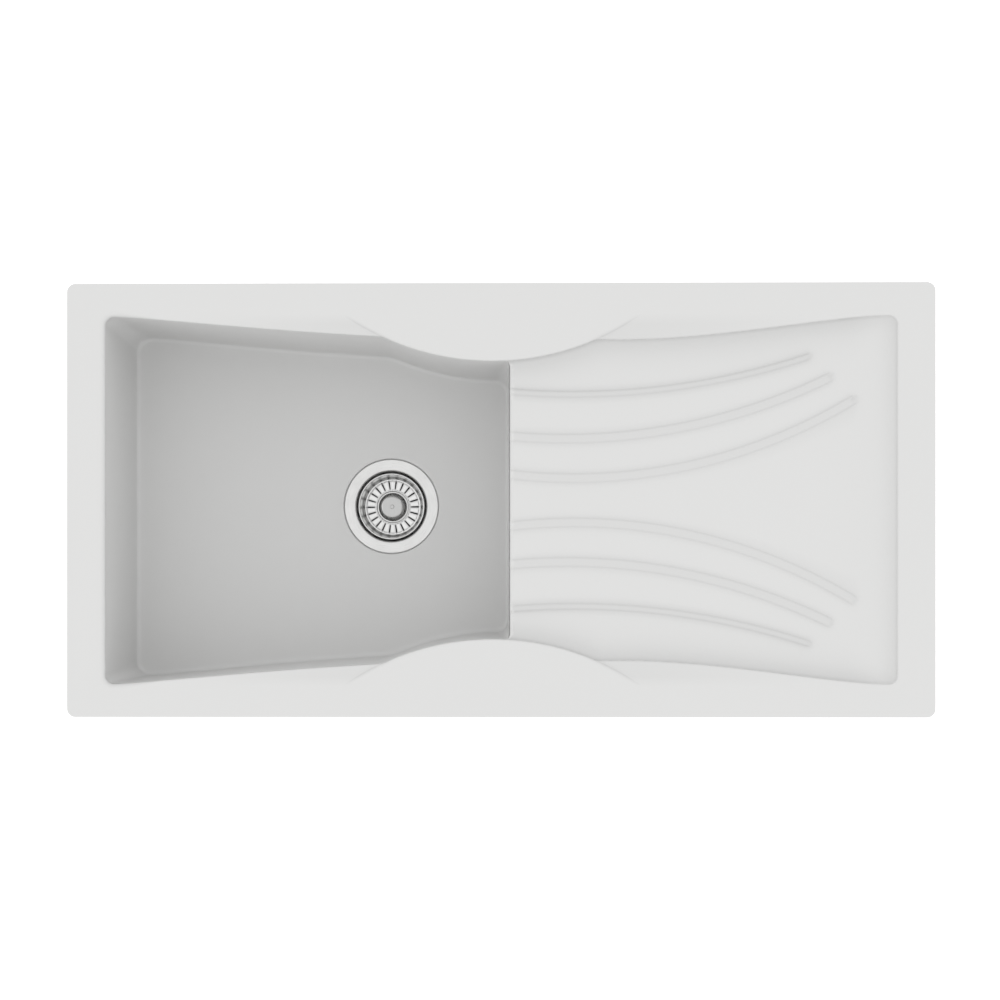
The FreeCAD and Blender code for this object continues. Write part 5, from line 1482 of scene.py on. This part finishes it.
    def add_bosses(self, skin: Skin) -> None:
        """Add the eight clip bosses with their blind holes."""
        boss_r, hole_r, high = self.boss
        profile = ((boss_r, 0.4), (boss_r, 0.6 - high), (boss_r - 0.2, 0.2 - high),
                   (boss_r - 0.6, -high), (hole_r + 0.3, -high), (hole_r, 0.3 - high),
                   (hole_r, -1.5), (0.02, -1.5))
        angles = np.arange(32) * (2 * math.pi / 32)
        rays = np.column_stack([np.cos(angles), np.sin(angles)])
        for x, y in (self.long_boss, self.short_boss):
            for sx, sy in ((-1, -1), (-1, 1), (1, -1), (1, 1)):
                rows = ring_rows(np.array([sx * x, sy * y]), rays, profile)
                skin.rows(rows, True, (sx * x, sy * y, -4000.0))

    def add_stiffeners(self, skin: Skin) -> None:
        """Add the lattice of stiffeners under the drainboard."""
        thick, high = self.bar
        half = thick / 2
        low = self.board_z[0] - self.wall - high
        across = np.array([(-half, high - 1.5), (-half, 0.5), (0.3 - half, 0.15),
                           (0.7 - half, 0.0), (half - 0.7, 0.0), (half - 0.3, 0.15), (half, 0.5),
                           (half, high - 1.5)])

        def bar(start: tuple[float, float], end: tuple[float, float]) -> None:
            """One stiffener with rounded lower edges, between two plan points."""
            a, b = np.array(start, float), np.array(end, float)
            along = unit(b - a)
            side = np.array([-along[1], along[0]])
            run = [np.column_stack([p + across[:, :1] * side, low + across[:, 1]]) for p in (
                a, a + along * 0.4, b - along * 0.4, b)]
            middle = run[0].mean(axis=0)
            ends = [np.repeat([r.mean(axis=0)], len(across), axis=0) for r in (run[0], run[-1])]
            skin.rows([ends[0], *run, ends[1]], False, (middle[0], middle[1], -4000.0))

        for y in self.long_bars:
            bar((self.lip_x + 2.0, y), (self.cross_bars[-1] + half, y))
        for x in self.cross_bars:
            bar((x, -self.bar_reach), (x, self.bar_reach))


# ---- The strainer --------------------------------------------------------------------------------
@dataclass(frozen=True)
class Basket:
    """The pressed basket with its petals and slots, and the turned knob in its middle."""

    centre: tuple[float, float] = (-140.0, 0.0)
    top: float = -191.9
    floor: float = -214.6
    well: float = -217.0
    sheet: float = 0.8
    petals: int = 22
    columns: int = 14          # grid columns over a petal
    petal_rise: float = 0.9
    petal_r: tuple[float, float] = (19.6, 33.4)
    slot_r: tuple[float, float] = (20.8, 32.4)
    knob_r: float = 14.4
    knob_height: float = 15.0
    grid_step: float = 1.3     # along the profile
    crease: float = 50.0       # edges sharper than this many degrees stay sharp

    def line(self) -> Array:
        """The upper surface's profile from the rolled edge in to the stem, with close steps."""
        top, floor, well = self.top, self.floor, self.well
        rough = smooth_profile([        # radius, height and rounding
            (40.2, top - 0.7, 0), (39.9, top - 0.1, 0.4), (39.2, top, 0.5), (38.2, top - 0.7, 0.8),
            (36.9, top - 11.0, 5.0), (35.8, floor + 4.0, 2.0), (34.2, floor + 0.6, 1.6),
            (32.4, floor, 1.0), (20.2, floor - 0.6, 0.8), (18.9, floor + 0.5, 0.7),
            (17.6, floor + 1.1, 0.8), (16.4, floor + 0.5, 0.6), (15.6, well + 0.6, 0.8),
            (14.4, well, 0.6), (2.7, well, 0)], 4)
        length = np.concatenate([[0.0], np.cumsum(np.hypot(*np.diff(rough, axis=0).T))])
        steps = np.unique(np.concatenate([length, np.arange(0.0, length[-1], self.grid_step)]))
        steps = steps[np.concatenate([[True], np.diff(steps) > 0.12])]
        return np.column_stack([np.interp(steps, length, rough[:, i]) for i in (0, 1)])

    def petal_height(self, r: Array, phase: Array) -> Array:
        """How far a petal stands up: sin(pi t) over its width t, eased in and out along r."""
        inner, outer = self.petal_r
        along = ease((r - inner) / 2.4) * ease((outer - r) / 3.0)
        return self.petal_rise * along * np.sin(math.pi * phase) ** 0.7

    def grey(self, r: Array, phase: Array) -> Array:
        """How much painted shade darkens the steel: between the petals, and on the steep side."""
        inner, outer = self.petal_r
        along = ease((r - inner) / 2.0) * ease((outer - r) / 2.0)
        # painted shade in the gaps between the petals
        between = 0.4 * along * (1 - np.sin(math.pi * phase) ** 0.8)
        # and a ring of painted shade on the steep side
        return between + 0.5 * np.exp(-((r - 35.6) / 1.5) ** 4)

    def build(self) -> bpy.types.Object:
        """Build the basket: both faces of the sheet, and the walls of its slots.

        Returns:
            The new object.
        """
        upper = self.line()
        ahead = unit(np.gradient(upper, axis=0))
        lower = upper + np.column_stack([ahead[:, 1], -ahead[:, 0]]) * -self.sheet
        lower[:, 0] = np.maximum(lower[:, 0], upper[-1, 0])
        count = self.petals * self.columns
        angle = np.arange(count) * (2 * math.pi / count)
        phase = np.arange(count) % self.columns / self.columns

        def surface(line: Array) -> Array:
            """The turned line with its petals, as (rows, columns, 3)."""
            r, z = line[:, :1], line[:, 1:]
            lift = self.petal_height(upper[:len(line), :1], phase[None, :])
            return np.stack([self.centre[0] + r * np.cos(angle), self.centre[1] + r * np.sin(angle),
                             z + lift], axis=-1)

        top, under = surface(upper), surface(lower)
        rows = len(upper)
        points = np.concatenate([top, under[::-1], top[:1]]).reshape(-1, 3)
        faces = grid_faces(2 * rows + 1, count, True)
        uv = grid_uv(2 * rows + 1, count, True)
        r0, r1 = (int(np.argmin(np.abs(upper[:, 0] - r))) for r in self.slot_r[::-1])
        row_of, column_of = np.divmod(np.arange(len(faces)), count)
        in_slot = (column_of % self.columns <= 1) | (column_of % self.columns == self.columns - 1)
        near_top = (row_of >= r0) & (row_of < r1)
        near_under = (row_of >= 2 * rows - 1 - r1) & (row_of < 2 * rows - 1 - r0)
        keep = ~(in_slot & (near_top | near_under))
        walls = []
        for petal in range(self.petals):
            c0, c1 = petal * self.columns - 1, petal * self.columns + 2
            border = ([(r0, c) for c in range(c0, c1)] + [(r, c1) for r in range(r0, r1)]
                      + [(r1, c) for c in range(c1, c0, -1)] + [(r, c0) for r in range(r1, r0, -1)])
            edge = np.array([(r * count + c % count, (2 * rows - 1 - r) * count + c % count)
                             for r, c in border])
            after = np.roll(edge, -1, axis=0)
            walls.append(np.stack([edge[:, 0], edge[:, 1], after[:, 1], after[:, 0]], axis=-1))
        walls = np.concatenate(walls)
        # painted shade, kept on the mesh as the attribute shade
        shade = self.grey(upper[:, :1], phase[None, :])
        shade = np.concatenate([shade, shade[::-1], shade[:1]])
        wall_uv = np.tile([[0.0, 0.0], [0.0, 0.1], [0.1, 0.1], [0.1, 0.0]], (len(walls), 1, 1))
        return make_piece("strainer_basket", points, np.concatenate([faces[keep], walls]),
                          Body.BASKET, np.concatenate([uv[keep], wall_uv]), self.crease, True,
                          shade.ravel())

    def knob(self) -> bpy.types.Object:
        """The turned knob: foot, waisted neck and a domed head with a raised centre."""
        low, r = self.well, self.knob_r
        top = low + self.knob_height
        profile = smooth_profile([      # radius, height and rounding
            (0.0, low, 0), (7.0, low, 0.3), (7.0, low + 1.0, 0.4), (4.4, low + 3.6, 1.4),
            (4.4, top - 6.8, 1.6), (8.0, top - 5.4, 1.4), (r - 0.8, top - 4.6, 0.6),
            (r, top - 3.8, 0.6), (r - 1.0, top - 2.2, 1.2), (r - 4.6, top - 0.9, 2.0),
            (6.0, top - 0.5, 1.5), (2.6, top - 0.6, 0.5), (2.0, top - 0.1, 0.5),
            (0.0, top + 0.2, 0)])
        return turned_piece("strainer_knob", profile, self.centre, Body.BASKET, 96, True,
                            self.crease)


# ---- Camera, light and floor ---------------------------------------------------------------------
@dataclass(frozen=True)
class Panel:
    """A square soft light that faces the sink."""

    name: str
    place: tuple[float, float, float]     # metres
    power: float                          # watts
    size: float = 1.4

    def hang(self) -> None:
        """Put the light into the scene."""
        data = bpy.data.lights.new(self.name, "AREA")
        data.size = self.size
        data.energy = self.power
        panel = bpy.data.objects.new(self.name, data)
        panel.location = self.place
        panel.rotation_euler = (-panel.location.normalized()).to_track_quat("-Z", "Y").to_euler()
        bpy.context.scene.collection.objects.link(panel)


@dataclass(frozen=True)
class Studio:
    """The camera over the sink, the soft light and the pale floor."""

    camera_height: float = 3.60      # metres over the rim
    nadir: tuple[float, float] = (0.145, -0.137)
    seen_width: float = 1.1492       # metres of the rim's plane across the picture
    shift_x: float = -0.063
    sky: float = 1.11
    panels: tuple[Panel, ...] = (
        Panel("panel_left", (-2.5, 0.1, 1.25), 3.0), Panel("panel_right", (2.5, 0.1, 1.25), 3.0),
        Panel("panel_back", (0.0, 2.4, 1.25), 0.5), Panel("panel_front", (0.0, -2.4, 1.25), 2.5))
    rim_height: float = 0.008        # metres
    floor_size: float = 12.0         # metres
    floor_gap: float = 0.0005        # metres under the lowest piece
    floor_tone: float = 0.9
    floor_glow: float = 0.45
    sensor: float = 36.0

    def camera(self) -> None:
        """A camera that looks down, with a lens shift and a slight turn to frame the sink.

        The shift takes the whole of the nadir's y and part of its x. The turn about Y takes the
        rest.
        """
        data = bpy.data.cameras.new("camera")
        data.sensor_width = self.sensor
        data.lens = self.sensor * self.camera_height / self.seen_width
        data.shift_x = self.shift_x
        data.shift_y = -self.nadir[1] / self.seen_width
        camera = bpy.data.objects.new("camera", data)
        left = self.nadir[0] + self.shift_x * self.seen_width
        camera.location = (self.nadir[0], self.nadir[1], self.camera_height + self.rim_height)
        camera.rotation_euler = (0.0, math.atan2(left, self.camera_height), 0.0)
        bpy.context.scene.collection.objects.link(camera)
        bpy.context.scene.camera = camera

    def light(self) -> None:
        """A pale dome and four large soft panels, one low on each side."""
        world = bpy.data.worlds.new("studio")
        world.use_nodes = True
        world.node_tree.nodes["Background"].inputs["Color"].default_value = (1, 1, 1, 1)
        world.node_tree.nodes["Background"].inputs["Strength"].default_value = self.sky
        bpy.context.scene.world = world
        for panel in self.panels:
            panel.hang()

    def floor(self, low: float) -> None:
        """A pale floor just under the lowest piece.

        Args:
            low: the object's lowest height, in metres.
        """
        half = self.floor_size / 2 / MM
        z = (low - self.floor_gap) / MM
        points = np.array([(-half, -half, z), (half, -half, z), (half, half, z), (-half, half, z)])
        mesh = bpy.data.meshes.new("studio_floor")
        mesh.from_pydata((points * MM).tolist(), [], [(0, 1, 2, 3)])
        floor = bpy.data.objects.new("studio_floor", mesh)
        bpy.context.scene.collection.objects.link(floor)
        material = bpy.data.materials.new("pale_floor")
        material.use_nodes = True
        shader = material.node_tree.nodes["Principled BSDF"]
        shader.inputs["Base Color"].default_value = (*(self.floor_tone,) * 3, 1)
        shader.inputs["Roughness"].default_value = 0.8
        shader.inputs["Emission Color"].default_value = (1, 1, 1, 1)
        shader.inputs["Emission Strength"].default_value = self.floor_glow
        mesh.materials.append(material)
        floor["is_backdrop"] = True


def corners(bounds: tuple) -> list[list[float]]:
    """A box's two corners as plain lists."""
    return [[float(c) for c in corner] for corner in bounds]


FINISHES = (
    PaintedShadeMouldedFinish("white_composite", Slot.COMPOSITE, (0.635, 0.635, 0.63), 0.42, grains=1400.0,
                  clouds=5.0, spread=0.03, cloud_spread=0.012, bump=0.012),
    GrainFinish("grey_foam", Slot.FOAM, (0.22, 0.22, 0.23), 0.9, grains=1600.0, bump=0.3,
                spread=0.3),
    GrainFinish("black_rubber", Slot.RUBBER, (0.025, 0.025, 0.026), 0.55, grains=700.0,
                spread=0.2, bump=0.02, worn=0.03),
    GrainFinish("grey_plastic", Slot.PLASTIC, (0.62, 0.62, 0.61), 0.4, grains=1100.0,
                spread=0.02, bump=0.02, worn=0.05),
    GrainFinish("hose_plastic", Slot.HOSE, (0.70, 0.70, 0.68), 0.38, grains=900.0, bump=0.02),
    GrainFinish("zinc_steel", Slot.ZINC, (0.60, 0.62, 0.65), 0.34, grains=420.0, spread=0.14,
                cloud_spread=0.08, bump=0.01, metallic=1.0, worn=0.1),
    GrainFinish("brass", Slot.BRASS, (0.74, 0.54, 0.25), 0.3, grains=800.0, spread=0.08,
                metallic=1.0, worn=0.1),
    *(TurnedFinish(slot.value, slot, (grey, grey, grey * 0.99), rough, spread=0.3,
                   anisotropy=0.35, centre=(-0.14, 0.0, 0.0), on_uv=False)
      for slot, grey, rough in ((Slot.BRUSHED, 0.68, 0.34), (Slot.POLISHED, 0.88, 0.24),
                                (Slot.SCREW, 0.7, 0.3))),
)
PRESSED_STEEL = TurnedFinish("pressed_steel", Slot.POLISHED, (0.76, 0.76, 0.755), 0.28,
                             spread=0.08)
# darker than the other polished steel: painted shade standing in for the dark surroundings that the
# knob's dome reflects
DARKENED_TURNED_STEEL = TurnedFinish("turned_steel", Slot.POLISHED, (0.5, 0.5, 0.495), 0.17, spread=0.16)


def main() -> None:
    """Build the scene piece by piece."""
    logging.basicConfig(level=logging.INFO, format="%(name)s: %(message)s")
    cad_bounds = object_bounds()
    effects = Effects()
    studio = Studio()
    studio.camera()
    studio.light()
    studio.floor(cad_bounds[0][2])
    materials = {finish.slot: finish.material(effects) for finish in FINISHES}
    for part in frame["record"]["subparts"]:
        dress_node(part["node"], materials[Slot(part["material_slot"])])
    moulding = Moulding().build()
    wear(moulding, materials[Slot.COMPOSITE], Slot.COMPOSITE)
    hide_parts("sink_body")
    strainer = Basket()
    basket = strainer.build()
    wear(basket, PRESSED_STEEL.material(effects), Slot.POLISHED)
    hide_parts("basket")
    knob = strainer.knob()
    wear(knob, DARKENED_TURNED_STEEL.material(effects), Slot.POLISHED)
    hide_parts("basket_knob")
    bpy.context.scene.view_settings.view_transform = "Standard"


if __name__ == "__main__":
    main()
